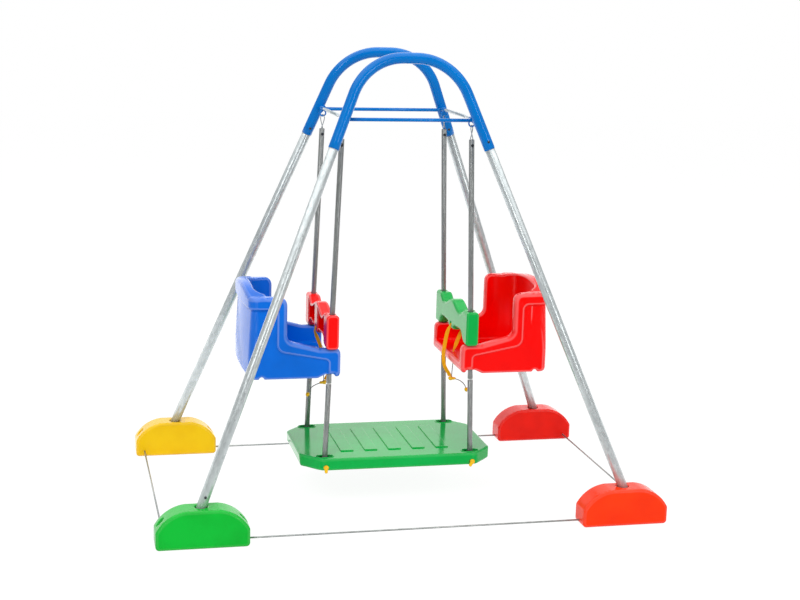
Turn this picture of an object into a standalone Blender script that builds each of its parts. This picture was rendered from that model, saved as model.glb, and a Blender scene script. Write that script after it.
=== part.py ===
"""Double swing for two small children who sit face to face over one shared footboard.

Two bent arches on four splayed tube legs carry four rings. A pair of poles hangs from the rings on
each side, with a bucket seat and a lift-up safety bar on each pair, and all four poles end in the
footboard, so the whole set swings as one four-bar linkage. Ballast feet and thin tie rods hold the
legs apart on the floor.

Metres, +Z up, origin on the floor under the middle. X runs from seat to seat, Y from arch to arch.
"""
import math

import bmesh
import bpy
from mathutils import Matrix, Vector

# Fits
TOUCH_GAP = 0.0003          # between pieces that rest on or in each other
RUNNING_GAP = 0.0003        # radial, a pin or pole in its hole
SLEEVE_GAP = 0.0005         # radial, the leg in the arch tube

# Width of the swing, which the frame, the seats and the bars follow
BOARD_HALF_WIDTH = 0.210
POLE_INSET = 0.032          # from the board's edge to the plane of the poles
POLE_Y = BOARD_HALF_WIDTH - POLE_INSET      # plane of the rings and of the poles

# Stance of the frame: where the legs stand and how they lean
LEG_X = 0.693               # leg axis at the top of the foot
LEG_Y = 0.4785
LEG_Z = 0.1225              # height of that point, the top of the foot
ARCH_TOP_Z = 1.493          # centre line of the arch at its crown
ARCH_PAST_POLE = 0.016      # from the poles' plane out to the crown of the arch
ARCH_TOP_Y = POLE_Y + ARCH_PAST_POLE        # half distance between the two crowns
LEAN = (LEG_Y - ARCH_TOP_Y) / (ARCH_TOP_Z - LEG_Z)      # inwards along Y, per metre of height
ARCH_BEND_RADIUS = 0.180
ARCH_CROWN_HALF = 0.021     # half the straight run at the crown, between the two bends
ARCH_HEIGHT = 0.285
ARCH_END_Z = ARCH_TOP_Z - ARCH_HEIGHT       # where the painted arch ends and the bare leg shows

# Frame tubes
ARCH_RADIUS = 0.018
ARCH_WALL = 0.0015
LEG_RADIUS = 0.016
LEG_WALL = 0.0015
LEG_INSERT = 0.070          # length of leg inside the arch
LEG_SCREW_UP = 0.022        # screw above the arch's end, measured in height
LEG_SCREW_RADIUS = 0.0025
LEG_SCREW_REACH = 0.009
LEG_SCREW_HEAD = 0.0055
LEG_SCREW_HEAD_HEIGHT = 0.0035

# Hanging points
HINGE_X = 0.215             # ring centres
HINGE_DROP = 0.208          # from the crown of the arch down to the ring centres
HINGE_Z = ARCH_TOP_Z - HINGE_DROP
RING_RADIUS = 0.010         # centre line of the ring's wire
RING_WIRE = 0.0025
RING_WELD = 0.0035          # depth that the ring is sunk into the stub
STUB_RADIUS = 0.007
STUB_Z = HINGE_Z + RING_RADIUS + RING_WIRE + STUB_RADIUS - RING_WELD    # bracket stub over the ring
STUB_PAST_RING = 0.018      # length of stub inside the ring
STUB_END_Y = POLE_Y - STUB_PAST_RING
GUSSET_THICK = 0.004
GUSSET_WIDTH = 0.030
GUSSET_HEIGHT = 0.028
GUSSET_GAP = 0.0001         # between the gusset and the arch, beside the welded stub
CROSSBAR_RADIUS = 0.006
CROSSBAR_CLEAR = 0.0018     # between the crossbar and the gusset behind it
CROSSBAR_DROP = 0.004       # crossbar under the middle of the stub
CROSSBAR_Z = STUB_Z - CROSSBAR_DROP
SPACER_RADIUS = 0.0052
SPACER_THIN_RADIUS = 0.0040
SPACER_STEP_Y = -0.095      # where the thick half plugs on to the thin half
SPACER_PAST_POLE = 0.012    # from the poles' plane to the spacer's end in the stub
SPACER_END_Y = POLE_Y + SPACER_PAST_POLE

# Wire links and hanger pins
LINK_WIRE = 0.0015
LINK_HALF_WIDTH = 0.0052
LINK_HALF_DEPTH = 0.0120
LINK_GAP = 0.0007           # between the link's wire and the ring or pin it bears on
HANGER_PIN_DROP = 0.0715    # from the ring's centre down to the pin
HANGER_PIN_Z = HINGE_Z - HANGER_PIN_DROP
HANGER_PIN_RADIUS = 0.0020
HANGER_PIN_HEAD = 0.0035
HANGER_PIN_HEAD_LENGTH = 0.0020

# Swing poles
POLE_RADIUS = 0.009
POLE_WALL = 0.0012
POLE_TOP_PAST_PIN = 0.0185
POLE_TOP_Z = HANGER_PIN_Z + POLE_TOP_PAST_PIN
FOOT_PIN_X = 0.2525         # footboard pins, a little wider apart than the rings
BOARD_TOP_Z = 0.170
FOOT_PIN_DEPTH = 0.029      # from the top of the board down to its pins
FOOT_PIN_Z = BOARD_TOP_Z - FOOT_PIN_DEPTH
POLE_END_BELOW_PIN = 0.0105
NECK_LENGTH = 0.035         # spigot inside the upper pole
SHOULDER_LENGTH = 0.018     # cone between spigot and pole, on which the seat sits

# Seat, sizes of the right-hand one; "out" is away from the middle of the swing
SEAT_FRONT_X = 0.203
SEAT_BACK_X = 0.509
SEAT_BACK_BULGE = 0.015
SEAT_PAST_POLE = 0.017      # from the poles' plane out to the side of the seat
SEAT_HALF_WIDTH = POLE_Y + SEAT_PAST_POLE
SEAT_BOTTOM_Z = 0.443
SEAT_ARM_HEIGHT = 0.0995
SEAT_ARM_Z = SEAT_BOTTOM_Z + SEAT_ARM_HEIGHT
SEAT_ARM_FLAT_X = 0.276     # the armrest is level up to here, under the safety bar
SEAT_ARM_RISE = 0.0285      # from there up to its rear end
SEAT_ARM_REAR_Z = SEAT_ARM_Z + SEAT_ARM_RISE
SEAT_WING_X = 0.386
SEAT_WING_HEIGHT = 0.275
SEAT_WING_Z = SEAT_BOTTOM_Z + SEAT_WING_HEIGHT
SEAT_BACK_RISE = 0.021      # arch of the back over the wings
SEAT_BACK_Z = SEAT_WING_Z + SEAT_BACK_RISE
SEAT_TRIM = 0.003           # height that the side view leaves for the rim's own outline to trim
SEAT_PAN_HEIGHT = 0.035
SEAT_PAN_Z = SEAT_BOTTOM_Z + SEAT_PAN_HEIGHT
SEAT_SIDE_WALL = 0.032
SEAT_BACK_WALL = 0.040
SEAT_CAVITY_CORNER = 0.085
SEAT_SKIN = 0.004
SEAT_PANEL_DEPTH = 0.005    # sunk side and back panels
SEAT_BAND = 0.034           # width of the raised band around the side panel
SEAT_LIP = 0.040            # height of the raised rim above the panels
POLE_NOTCH_DEPTH = 0.0125
POLE_NOTCH_Z = SEAT_BOTTOM_Z + POLE_NOTCH_DEPTH     # underside of the seat where it sits on the poles
SEAT_DENT_FROM_BACK = 0.041     # small dent across the underside, ahead of the back
SEAT_DENT_HALF = 0.010
SEAT_DENT_DEPTH = 0.008
POLE_NOTCH_HALF = 0.014
BOSS_FLOOR = 0.006
BOSS_WALL = 0.0032
SEAT_RIB = 0.003
SEAT_RIB_Y = 0.055
SEAT_RIB_X = 0.360
PAN_SLOT_X = 0.230
PAN_SLOT_HALF_X = 0.0035
PAN_SLOT_HALF_Y = 0.009

# Safety bar
BAR_FRONT_X = 0.2165
BAR_DEPTH = 0.042
BAR_PAST_POLE = 0.027       # from the poles' plane out to the bar's end
BAR_HALF_LENGTH = POLE_Y + BAR_PAST_POLE
BAR_FRONT_WALL = 0.004
BAR_RIM = 0.006
BAR_SLEEVE = 0.050          # length of the solid end around each pole
BAR_WEB_HALF = 0.026        # solid middle that holds the strap
BAR_SLOT_RISE = 0.0335      # middle of the strap's slot over the armrest
BAR_SLOT_Z = SEAT_ARM_Z + BAR_SLOT_RISE
BAR_SLOT_HALF_Y = 0.009
BAR_SLOT_HALF_Z = 0.008
BAR_HEIGHT = 0.1135         # at the sleeves
BAR_VALLEY_Y = 0.105
BAR_VALLEY_DROP = 0.020
BAR_BUMP_RISE = 0.006
BAR_TAB_HALF = 0.020
BAR_TAB_BLEND = 0.028       # run of the curve from the tab up to the arch beside it
BAR_TAB_RISE = 0.0155       # middle tab's lower edge over the armrest
BAR_TAB_Z = SEAT_ARM_Z + BAR_TAB_RISE
BAR_ARCH_Y = 0.115
BAR_ARCH_RISE = 0.0355      # top of the arches beside the tab over the armrest
BAR_ARCH_Z = SEAT_ARM_Z + BAR_ARCH_RISE
BAR_SLEEVE_BLEND = 0.017    # where the arch has come down to the sleeve
BAR_EDGE = 0.004

# Crotch strap, lanyard, toggle and plug
STRAP_WIDTH = 0.012
STRAP_THICK = 0.0016
STRAP_END_RISE = 0.004
STRAP_END_Z = SEAT_BOTTOM_Z + STRAP_END_RISE    # end of the webbing inside the seat's underside
CORD_RADIUS = 0.0015
TOGGLE_AHEAD = 0.0012        # in front of the strap's slot
TOGGLE_X = PAN_SLOT_X - TOGGLE_AHEAD
TOGGLE_DROP = 0.0635         # under the seat's base
TOGGLE_Z = SEAT_BOTTOM_Z - TOGGLE_DROP
TOGGLE_HALF_LENGTH = 0.0140
TOGGLE_HALF_HEIGHT = 0.0075
TOGGLE_HALF_WIDTH = 0.0075
PLUG_RADIUS = 0.0068
PLUG_LENGTH = 0.0155

# Footboard
BOARD_HALF_LENGTH = 0.332
BOARD_THICK = 0.041
BOARD_CHAMFER_X = 0.066
BOARD_CHAMFER_Y = 0.072
BOARD_CORNER = 0.030
BOARD_EDGE = 0.003
BOARD_SKIN = 0.004
BOARD_RIB = 0.003
SLOT_HALF_LENGTH = 0.0285
SLOT_HALF_WIDTH = 0.013
TREAD_COUNT = 5             # raised bars across the board for the children's feet
TREAD_PITCH = 0.083
TREAD_WIDTH = 0.044
TREAD_HALF_LENGTH = 0.130
TREAD_HEIGHT = 0.0035
BOARD_PIN_RADIUS = 0.004
BOARD_PIN_HEAD = 0.0085
BOARD_PIN_HEAD_LENGTH = 0.006
BOARD_PIN_TAB_LENGTH = 0.020
BOARD_PIN_TAB_WIDTH = 0.010
BOARD_PIN_PLAY = 0.0048     # sideways slot for the two right-hand pins

# Ballast feet and tie rods
FOOT_SHIFT_X = 0.001        # middle of the foot inwards from the leg's axis at its top
FOOT_X = LEG_X - FOOT_SHIFT_X
FOOT_SHIFT_Y = 0.0055       # and outwards from it
FOOT_Y = LEG_Y + FOOT_SHIFT_Y
FOOT_HALF_LENGTH = 0.146
FOOT_HALF_WIDTH = 0.0430
FOOT_HEIGHT = LEG_Z
FOOT_END_Z = 0.057          # top of the upright ends
FOOT_CROWN_HALF = 0.052
FOOT_SHOULDER_SWEEP = math.radians(56)
FOOT_BOTTOM_CORNER = 0.012
FOOT_EDGE = 0.007
FOOT_BORE_GAP = 0.0010      # radial, the leg in the foot
FOOT_FLOOR = 0.026          # plastic left under the leg's end
POCKET_HALF_LENGTH = 0.017
POCKET_HALF_WIDTH = 0.009
POCKET_DEPTH = 0.012
ROD_RADIUS = 0.0030
ROD_INSERT = 0.025
FRONT_ROD_Z = 0.014
SIDE_ROD_Z = 0.020
SIDE_ROD_FROM_END = 0.030
SIDE_ROD_X = FOOT_X + FOOT_HALF_LENGTH - SIDE_ROD_FROM_END

# Facets
TUBE_SIDES = 16
POLE_SIDES = 12
SMALL_SIDES = 10
WIRE_SIDES = 6
SMOOTH_ANGLE = math.radians(40)

FRONT_BACK = (("front", -1), ("back", 1))
LEFT_RIGHT = (("left", -1), ("right", 1))


def clear_scene():
    for item in list(bpy.data.objects):
        bpy.data.objects.remove(item, do_unlink=True)


def material(name, colour, roughness, metallic=0.0):
    """A plain Principled material, made once for each name."""
    known = bpy.data.materials.get(name)
    if known:
        return known
    made = bpy.data.materials.new(name)
    made.use_nodes = True
    shader = made.node_tree.nodes["Principled BSDF"]
    shader.inputs["Base Color"].default_value = (*colour, 1.0)
    shader.inputs["Roughness"].default_value = roughness
    shader.inputs["Metallic"].default_value = metallic
    made.diffuse_color = (*colour, 1.0)
    return made


def arch_blue():
    return material("blue_paint", (0.0, 0.13, 0.62), 0.3)


def galvanised():
    return material("galvanised_steel", (0.55, 0.57, 0.56), 0.35, 1.0)


def bare_steel():
    return material("pole_steel", (0.36, 0.36, 0.36), 0.35, 1.0)


def dark_steel():
    return material("dark_steel", (0.05, 0.05, 0.05), 0.5, 1.0)


def blue_plastic():
    return material("blue_plastic", (0.0, 0.12, 0.75), 0.3)


def red_plastic():
    return material("red_plastic", (0.85, 0.0, 0.0), 0.3)


def orange_plastic():
    return material("orange_plastic", (0.90, 0.05, 0.0), 0.3)


def yellow_plastic():
    return material("yellow_plastic", (0.95, 0.60, 0.01), 0.3)


def green_plastic():
    return material("green_plastic", (0.0, 0.45, 0.05), 0.3)


def orange_webbing():
    return material("orange_webbing", (0.95, 0.35, 0.01), 0.8)


def grey_cord():
    return material("grey_cord", (0.22, 0.22, 0.22), 0.7)


def add_object(name, mesh, finish=None):
    """Put a mesh in the scene under a name, shaded smooth with its sharp edges kept."""
    made = bpy.data.objects.new(name, mesh)
    bpy.context.scene.collection.objects.link(made)
    if finish:
        mesh.materials.append(finish)
    mesh.shade_smooth()
    mesh.set_sharp_from_angle(angle=SMOOTH_ANGLE)
    return made


def mesh_from(bm, name):
    bmesh.ops.recalc_face_normals(bm, faces=bm.faces)
    mesh = bpy.data.meshes.new(name)
    bm.to_mesh(mesh)
    bm.free()
    return mesh


def prism(name, outline, low, high, axis, finish=None):
    """Extrude a flat outline along X, Y or Z; its two coordinates are the other axes in order."""
    across = {"X": (1, 2, 0), "Y": (0, 2, 1), "Z": (0, 1, 2)}[axis]
    bm = bmesh.new()
    corners = []
    for first, second in outline:
        place = [0.0, 0.0, 0.0]
        place[across[0]] = first
        place[across[1]] = second
        place[across[2]] = low
        corners.append(bm.verts.new(place))
    face = bm.faces.new(corners)
    swept = bmesh.ops.extrude_face_region(bm, geom=[face])
    shift = Vector((0.0, 0.0, 0.0))
    shift[across[2]] = high - low
    moved = [item for item in swept["geom"] if isinstance(item, bmesh.types.BMVert)]
    bmesh.ops.translate(bm, vec=shift, verts=moved)
    return add_object(name, mesh_from(bm, name), finish)


def box(name, low, high, finish=None):
    outline = [(low[0], low[1]), (high[0], low[1]), (high[0], high[1]), (low[0], high[1])]
    return prism(name, outline, low[2], high[2], "Z", finish)


def along(start, end):
    """A frame whose +Z runs from start towards end."""
    direction = (Vector(end) - Vector(start)).normalized()
    return Matrix.Translation(start) @ direction.to_track_quat("Z", "Y").to_matrix().to_4x4()


def turned(name, profile, start, end, sides, finish=None):
    """Turn a closed profile of (radius, height) about the line from start towards end."""
    bm = bmesh.new()
    corners = [bm.verts.new((radius, 0.0, height)) for radius, height in profile]
    loops = len(corners)
    edges = [bm.edges.new((corners[i], corners[(i + 1) % loops])) for i in range(loops)]
    bmesh.ops.spin(bm, geom=corners + edges, axis=(0, 0, 1), cent=(0, 0, 0), steps=sides, angle=math.tau)
    bmesh.ops.remove_doubles(bm, verts=bm.verts, dist=1e-6)
    flat = [face for face in bm.faces if face.calc_area() < 1e-12]
    bmesh.ops.delete(bm, geom=flat, context="FACES_ONLY")
    on_axis = [edge for edge in bm.edges if not edge.link_faces]
    bmesh.ops.delete(bm, geom=on_axis, context="EDGES")
    bmesh.ops.transform(bm, matrix=along(start, end), verts=bm.verts)
    return add_object(name, mesh_from(bm, name), finish)


def rod(name, start, end, radius, sides, finish=None):
    length = (Vector(end) - Vector(start)).length
    profile = [(0.0, 0.0), (radius, 0.0), (radius, length), (0.0, length)]
    return turned(name, profile, start, end, sides, finish)


def pipe(name, start, end, radius, wall, sides, finish=None):
    length = (Vector(end) - Vector(start)).length
    bore = radius - wall
    profile = [(bore, 0.0), (radius, 0.0), (radius, length), (bore, length)]
    return turned(name, profile, start, end, sides, finish)


def swept_tube(name, points, radius, sides, finish=None, closed=False):
    """A solid round tube along a list of points, made from a bevelled curve."""
    curve = bpy.data.curves.new(name, "CURVE")
    curve.dimensions = "3D"
    curve.bevel_depth = radius
    curve.bevel_resolution = (sides - 4) // 2
    curve.use_fill_caps = not closed
    spline = curve.splines.new("POLY")
    spline.points.add(len(points) - 1)
    for place, point in zip(spline.points, points):
        place.co = (*point, 1.0)
    spline.use_cyclic_u = closed
    guide = bpy.data.objects.new(name + "_guide", curve)
    bpy.context.scene.collection.objects.link(guide)
    bpy.context.view_layer.update()
    shape = bpy.data.meshes.new_from_object(guide.evaluated_get(bpy.context.evaluated_depsgraph_get()))
    bpy.data.objects.remove(guide, do_unlink=True)
    bm = bmesh.new()
    bm.from_mesh(shape)
    bmesh.ops.remove_doubles(bm, verts=bm.verts, dist=1e-6)
    return add_object(name, mesh_from(bm, name), finish)


def boolean(target, tool, operation):
    """Join, cut or keep the common part of target and tool, and keep the tool as a hidden cutter."""
    step = target.modifiers.new(tool.name, "BOOLEAN")
    step.operation = operation
    step.solver = "EXACT"
    step.object = tool
    tool.hide_render = True
    tool.display_type = "WIRE"
    tool.parent = target
    return target


def cut(target, tool):
    return boolean(target, tool, "DIFFERENCE")


def join(target, tool):
    return boolean(target, tool, "UNION")


def soften(target, width, segments=2):
    """Round the square edges of a prism."""
    step = target.modifiers.new("rounded_edges", "BEVEL")
    step.width = width
    step.segments = segments
    step.limit_method = "ANGLE"
    step.angle_limit = math.radians(60)
    return target


def rounded_outline(corners, steps=3):
    """Outline through (x, y, radius) corners, each rounded by an arc."""
    points = []
    count = len(corners)
    for index, (x, y, radius) in enumerate(corners):
        corner = Vector((x, y))
        if radius == 0.0:
            points.append((x, y))
            continue
        back = (Vector(corners[index - 1][:2]) - corner).normalized()
        ahead = (Vector(corners[(index + 1) % count][:2]) - corner).normalized()
        half = back.angle(ahead) / 2
        centre = corner + (back + ahead).normalized() * (radius / math.sin(half))
        first = corner + back * (radius / math.tan(half)) - centre
        last = corner + ahead * (radius / math.tan(half)) - centre
        sweep = math.atan2(first.cross(last), first.dot(last))
        for step in range(steps + 1):
            turn = sweep * step / steps
            spoke = Matrix.Rotation(turn, 2) @ first
            points.append(tuple(centre + spoke))
    return points


def inset_outline(points, inset):
    """Move each side of an anticlockwise outline inwards."""
    moved = []
    count = len(points)
    for index in range(count):
        here = Vector(points[index])
        back = (here - Vector(points[index - 1])).normalized()
        ahead = (Vector(points[(index + 1) % count]) - here).normalized()
        normal_back = Vector((-back.y, back.x))
        normal_ahead = Vector((-ahead.y, ahead.x))
        push = (normal_back + normal_ahead) / (1.0 + normal_back.dot(normal_ahead))
        moved.append(tuple(here + push * inset))
    return moved


def wave(knots, at):
    """Smooth level between (position, level) knots, flat at each knot."""
    for (start, low), (end, high) in zip(knots, knots[1:]):
        if at <= end:
            share = (at - start) / (end - start)
            return low + (high - low) * (1 - math.cos(math.pi * share)) / 2
    return knots[-1][1]


def smooth_route(points, spacing):
    """Even points along a Catmull-Rom curve through a route's own points."""
    padded = [2 * points[0] - points[1], *points, 2 * points[-1] - points[-2]]
    fine = []
    for before, start, end, after in zip(padded, padded[1:], padded[2:], padded[3:]):
        for step in range(16):
            t = step / 16
            fine.append(0.5 * (2 * start + (end - before) * t
                               + (2 * before - 5 * start + 4 * end - after) * t * t
                               + (3 * start - before - 3 * end + after) * t * t * t))
    fine.append(points[-1].copy())
    lengths = [0.0]
    for start, end in zip(fine, fine[1:]):
        lengths.append(lengths[-1] + (end - start).length)
    count = max(2, round(lengths[-1] / spacing))
    route = []
    index = 0
    for step in range(count + 1):
        target = lengths[-1] * step / count
        while index < len(lengths) - 2 and lengths[index + 1] < target:
            index += 1
        span = lengths[index + 1] - lengths[index]
        share = (target - lengths[index]) / span if span else 0.0
        route.append(fine[index].lerp(fine[index + 1], share))
    return route


def ribbon_outline(path, thickness):
    """Closed outline of a strap that follows a flat path."""
    left = []
    right = []
    for index, here in enumerate(path):
        back = path[max(index - 1, 0)]
        ahead = path[min(index + 1, len(path) - 1)]
        run = (ahead - back).normalized()
        side = Vector((-run.y, run.x)) * thickness / 2
        left.append(tuple(here + side))
        right.append(tuple(here - side))
    return left + right[::-1]


def leg_spread():
    """Sideways lean of the legs per metre of height, which makes them tangent to the arch's bends."""
    across = LEG_X - ARCH_CROWN_HALF
    height = ARCH_TOP_Z - ARCH_BEND_RADIUS - LEG_Z
    reach = math.sqrt(across ** 2 + height ** 2 - ARCH_BEND_RADIUS ** 2)
    return (across * height - ARCH_BEND_RADIUS * reach) / (height ** 2 - ARCH_BEND_RADIUS ** 2)


def frame_point(x, z, side):
    """A point on the leaning plane of the front or back arch."""
    return Vector((x, side * (ARCH_TOP_Y + LEAN * (ARCH_TOP_Z - z)), z))


def leg_point(z, hand, side):
    """A point at height z on the axis of one leg."""
    return frame_point(hand * (LEG_X - leg_spread() * (z - LEG_Z)), z, side)


def leg_direction(hand, side):
    """Unit vector up the leg."""
    return (leg_point(1.0, hand, side) - leg_point(0.0, hand, side)).normalized()


def arch_path(side):
    """Centre line of one arch, from its left end over the crown to its right end."""
    slope = math.atan(leg_spread())
    centre_x = ARCH_CROWN_HALF
    centre_z = ARCH_TOP_Z - ARCH_BEND_RADIUS
    steps = 6
    half = [frame_point(0.0, ARCH_TOP_Z, side)]
    for step in range(steps + 1):
        turn = (math.pi / 2 - slope) * step / steps
        x = centre_x + ARCH_BEND_RADIUS * math.sin(turn)
        z = centre_z + ARCH_BEND_RADIUS * math.cos(turn)
        half.append(frame_point(x, z, side))
    half.append(leg_point(ARCH_END_Z, 1, side))
    mirrored = [Vector((-point.x, point.y, point.z)) for point in half[:0:-1]]
    return mirrored + half


def make_arch(name, side):
    path = arch_path(side)
    arch = swept_tube(name, path, ARCH_RADIUS, TUBE_SIDES, arch_blue())
    past_start = path[0] + (path[0] - path[1]).normalized() * ARCH_RADIUS
    past_end = path[-1] + (path[-1] - path[-2]).normalized() * ARCH_RADIUS
    bore_path = [past_start, *path[1:-1], past_end]
    bore = swept_tube(name + "_bore", bore_path, ARCH_RADIUS - ARCH_WALL, TUBE_SIDES)
    cut(arch, bore)
    for hand_name, hand in LEFT_RIGHT:
        cut(arch, screw_hole(name + "_screw_hole_" + hand_name, hand, side))
    return arch


def screw_axis(hand, side):
    """Centre and outward direction of the screw that locks a leg in its arch."""
    centre = leg_point(ARCH_END_Z + LEG_SCREW_UP, hand, side)
    up = leg_direction(hand, side)
    if hand < 0 and side < 0:
        sideways = Vector((0.0, 1.0, 0.0)).cross(up).normalized()
        return centre, sideways if sideways.x > 0 else -sideways
    facing = Vector((1.0, 0.0, 0.0)).cross(up).normalized()
    return centre, facing if facing.y < 0 else -facing


def screw_hole(name, hand, side):
    centre, outward = screw_axis(hand, side)
    reach = ARCH_RADIUS + LEG_SCREW_HEAD_HEIGHT
    return rod(name, centre + outward * (ARCH_RADIUS - LEG_SCREW_REACH), centre + outward * reach,
               LEG_SCREW_RADIUS + RUNNING_GAP, SMALL_SIDES)


def make_leg(name, hand, side):
    up = leg_direction(hand, side)
    top = leg_point(ARCH_END_Z, hand, side) + up * LEG_INSERT
    leg = pipe(name, leg_foot_end(hand, side), top, LEG_RADIUS, LEG_WALL, TUBE_SIDES, galvanised())
    cut(leg, screw_hole(name + "_screw_hole", hand, side))
    return leg


def leg_foot_end(hand, side):
    """Where the leg's lower end rests inside the foot."""
    up = leg_direction(hand, side)
    tilt = math.sqrt(1 - up.z * up.z)
    return leg_point(FOOT_FLOOR + LEG_RADIUS * tilt, hand, side)


def make_leg_screw(name, hand, side):
    centre, outward = screw_axis(hand, side)
    seat = centre + outward * (ARCH_RADIUS + TOUCH_GAP)
    height = LEG_SCREW_HEAD_HEIGHT
    profile = [(0.0, -LEG_SCREW_REACH), (LEG_SCREW_RADIUS, -LEG_SCREW_REACH), (LEG_SCREW_RADIUS, 0.0),
               (LEG_SCREW_HEAD, 0.0), (LEG_SCREW_HEAD, height * 0.4), (LEG_SCREW_HEAD * 0.6, height),
               (0.0, height)]
    return turned(name, profile, seat, seat + outward, SMALL_SIDES, dark_steel())


def gusset_y(side):
    """Middle of the gussets, just inside the arch."""
    return leg_point(STUB_Z, 1, side).y - side * (ARCH_RADIUS + GUSSET_GAP + GUSSET_THICK / 2)


def make_crossbar(name, side):
    half = HINGE_X - STUB_RADIUS - TOUCH_GAP
    y = gusset_y(side) - side * (GUSSET_THICK / 2 + CROSSBAR_CLEAR + CROSSBAR_RADIUS)
    ends = [Vector((hand * half, y, CROSSBAR_Z)) for hand in (-1, 1)]
    return rod(name, ends[0], ends[1], CROSSBAR_RADIUS, SMALL_SIDES, arch_blue())


def make_bracket(name, hand, side):
    """Stub welded to the arch, with a gusset and the ring that the swing hangs from."""
    arch_y = leg_point(STUB_Z, hand, side).y
    inner = Vector((hand * HINGE_X, side * STUB_END_Y, STUB_Z))
    outer = Vector((hand * HINGE_X, arch_y, STUB_Z))
    stub = rod(name, inner, outer, STUB_RADIUS, TUBE_SIDES, arch_blue())
    ring_points = []
    for step in range(TUBE_SIDES):
        turn = math.tau * step / TUBE_SIDES
        ring_points.append(Vector((hand * HINGE_X + RING_RADIUS * math.cos(turn), side * POLE_Y,
                                   HINGE_Z + RING_RADIUS * math.sin(turn))))
    join(stub, swept_tube(name + "_ring", ring_points, RING_WIRE, WIRE_SIDES, closed=True))
    gusset_low = (hand * HINGE_X - GUSSET_WIDTH / 2, gusset_y(side) - GUSSET_THICK / 2,
                  STUB_Z - GUSSET_HEIGHT / 2)
    gusset_high = (hand * HINGE_X + GUSSET_WIDTH / 2, gusset_y(side) + GUSSET_THICK / 2,
                   STUB_Z + GUSSET_HEIGHT / 2)
    join(stub, box(name + "_gusset", gusset_low, gusset_high))
    half = Vector((0.0, 0.0, 0.06))
    here = leg_point(STUB_Z, hand, side)
    up = leg_direction(hand, side) * half.length
    cut(stub, rod(name + "_arch_seat", here - up, here + up, ARCH_RADIUS + TOUCH_GAP, TUBE_SIDES))
    bore = SPACER_RADIUS if side > 0 else SPACER_THIN_RADIUS
    bore_end = Vector((hand * HINGE_X, side * (SPACER_END_Y + TOUCH_GAP), STUB_Z))
    mouth = Vector((hand * HINGE_X, side * (STUB_END_Y - STUB_RADIUS), STUB_Z))
    cut(stub, rod(name + "_spacer_bore", mouth, bore_end, bore + RUNNING_GAP, SMALL_SIDES))
    return stub


def make_spacer(name, hand):
    """Two-diameter rod that ties the front and back brackets together."""
    start = Vector((hand * HINGE_X, SPACER_END_Y, STUB_Z))
    thick_length = SPACER_END_Y - SPACER_STEP_Y
    length = 2 * SPACER_END_Y
    profile = [(0.0, 0.0), (SPACER_RADIUS, 0.0), (SPACER_RADIUS, thick_length),
               (SPACER_THIN_RADIUS, thick_length), (SPACER_THIN_RADIUS, length), (0.0, length)]
    return turned(name, profile, start, start - Vector((0.0, 1.0, 0.0)), SMALL_SIDES, galvanised())


def foot_outline():
    """Side view of a foot: flat base, upright ends, arched shoulders and a level crown."""
    chord = Vector((FOOT_HALF_LENGTH - FOOT_CROWN_HALF, FOOT_END_Z - FOOT_HEIGHT))
    radius = chord.length / (2 * math.sin(FOOT_SHOULDER_SWEEP / 2))
    heading = math.atan2(chord.y, chord.x) + FOOT_SHOULDER_SWEEP / 2
    point = Vector((FOOT_CROWN_HALF, FOOT_HEIGHT))
    shoulder = [point.copy()]
    steps = 6
    turn = FOOT_SHOULDER_SWEEP / steps
    step_length = 2 * radius * math.sin(turn / 2)
    for step in range(steps):
        slope = heading - turn * (step + 0.5)
        point = point + Vector((math.cos(slope), math.sin(slope))) * step_length
        shoulder.append(point.copy())
    right = [(point.x, point.y, 0.0) for point in reversed(shoulder)]
    left = [(-point.x, point.y, 0.0) for point in shoulder]
    base_left = (-FOOT_HALF_LENGTH, 0.0, FOOT_BOTTOM_CORNER)
    base_right = (FOOT_HALF_LENGTH, 0.0, FOOT_BOTTOM_CORNER)
    return rounded_outline([base_left, base_right, *right, *left], steps=3)


def make_foot(name, hand, side, finish, pocket_hands):
    outline = [(hand * FOOT_X + x, z) for x, z in foot_outline()]
    centre_y = side * FOOT_Y
    foot = prism(name, outline, centre_y - FOOT_HALF_WIDTH, centre_y + FOOT_HALF_WIDTH, "Y", finish)
    soften(foot, FOOT_EDGE, segments=1)
    up = leg_direction(hand, side)
    floor = leg_foot_end(hand, side) - up * TOUCH_GAP
    bore_radius = LEG_RADIUS + FOOT_BORE_GAP
    cut(foot, rod(name + "_leg_bore", floor, floor + up * 0.2, bore_radius, TUBE_SIDES))
    for pocket_hand in pocket_hands:
        cut(foot, foot_pocket(name + "_pocket_" + ("inner", "outer")[pocket_hand == hand], hand, side,
                              pocket_hand))
    inner_end = hand * (FOOT_X - FOOT_HALF_LENGTH)
    start = Vector((inner_end - hand * ROD_INSERT, centre_y, FRONT_ROD_Z))
    end = Vector((inner_end + hand * (ROD_INSERT + TOUCH_GAP), centre_y, FRONT_ROD_Z))
    cut(foot, rod(name + "_rod_bore", start, end, ROD_RADIUS + RUNNING_GAP, SMALL_SIDES))
    inner_face = side * (FOOT_Y - FOOT_HALF_WIDTH)
    start = Vector((hand * SIDE_ROD_X, inner_face - side * ROD_INSERT, SIDE_ROD_Z))
    end = Vector((hand * SIDE_ROD_X, inner_face + side * (ROD_INSERT + TOUCH_GAP), SIDE_ROD_Z))
    cut(foot, rod(name + "_side_rod_bore", start, end, ROD_RADIUS + RUNNING_GAP, SMALL_SIDES))
    return foot


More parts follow.
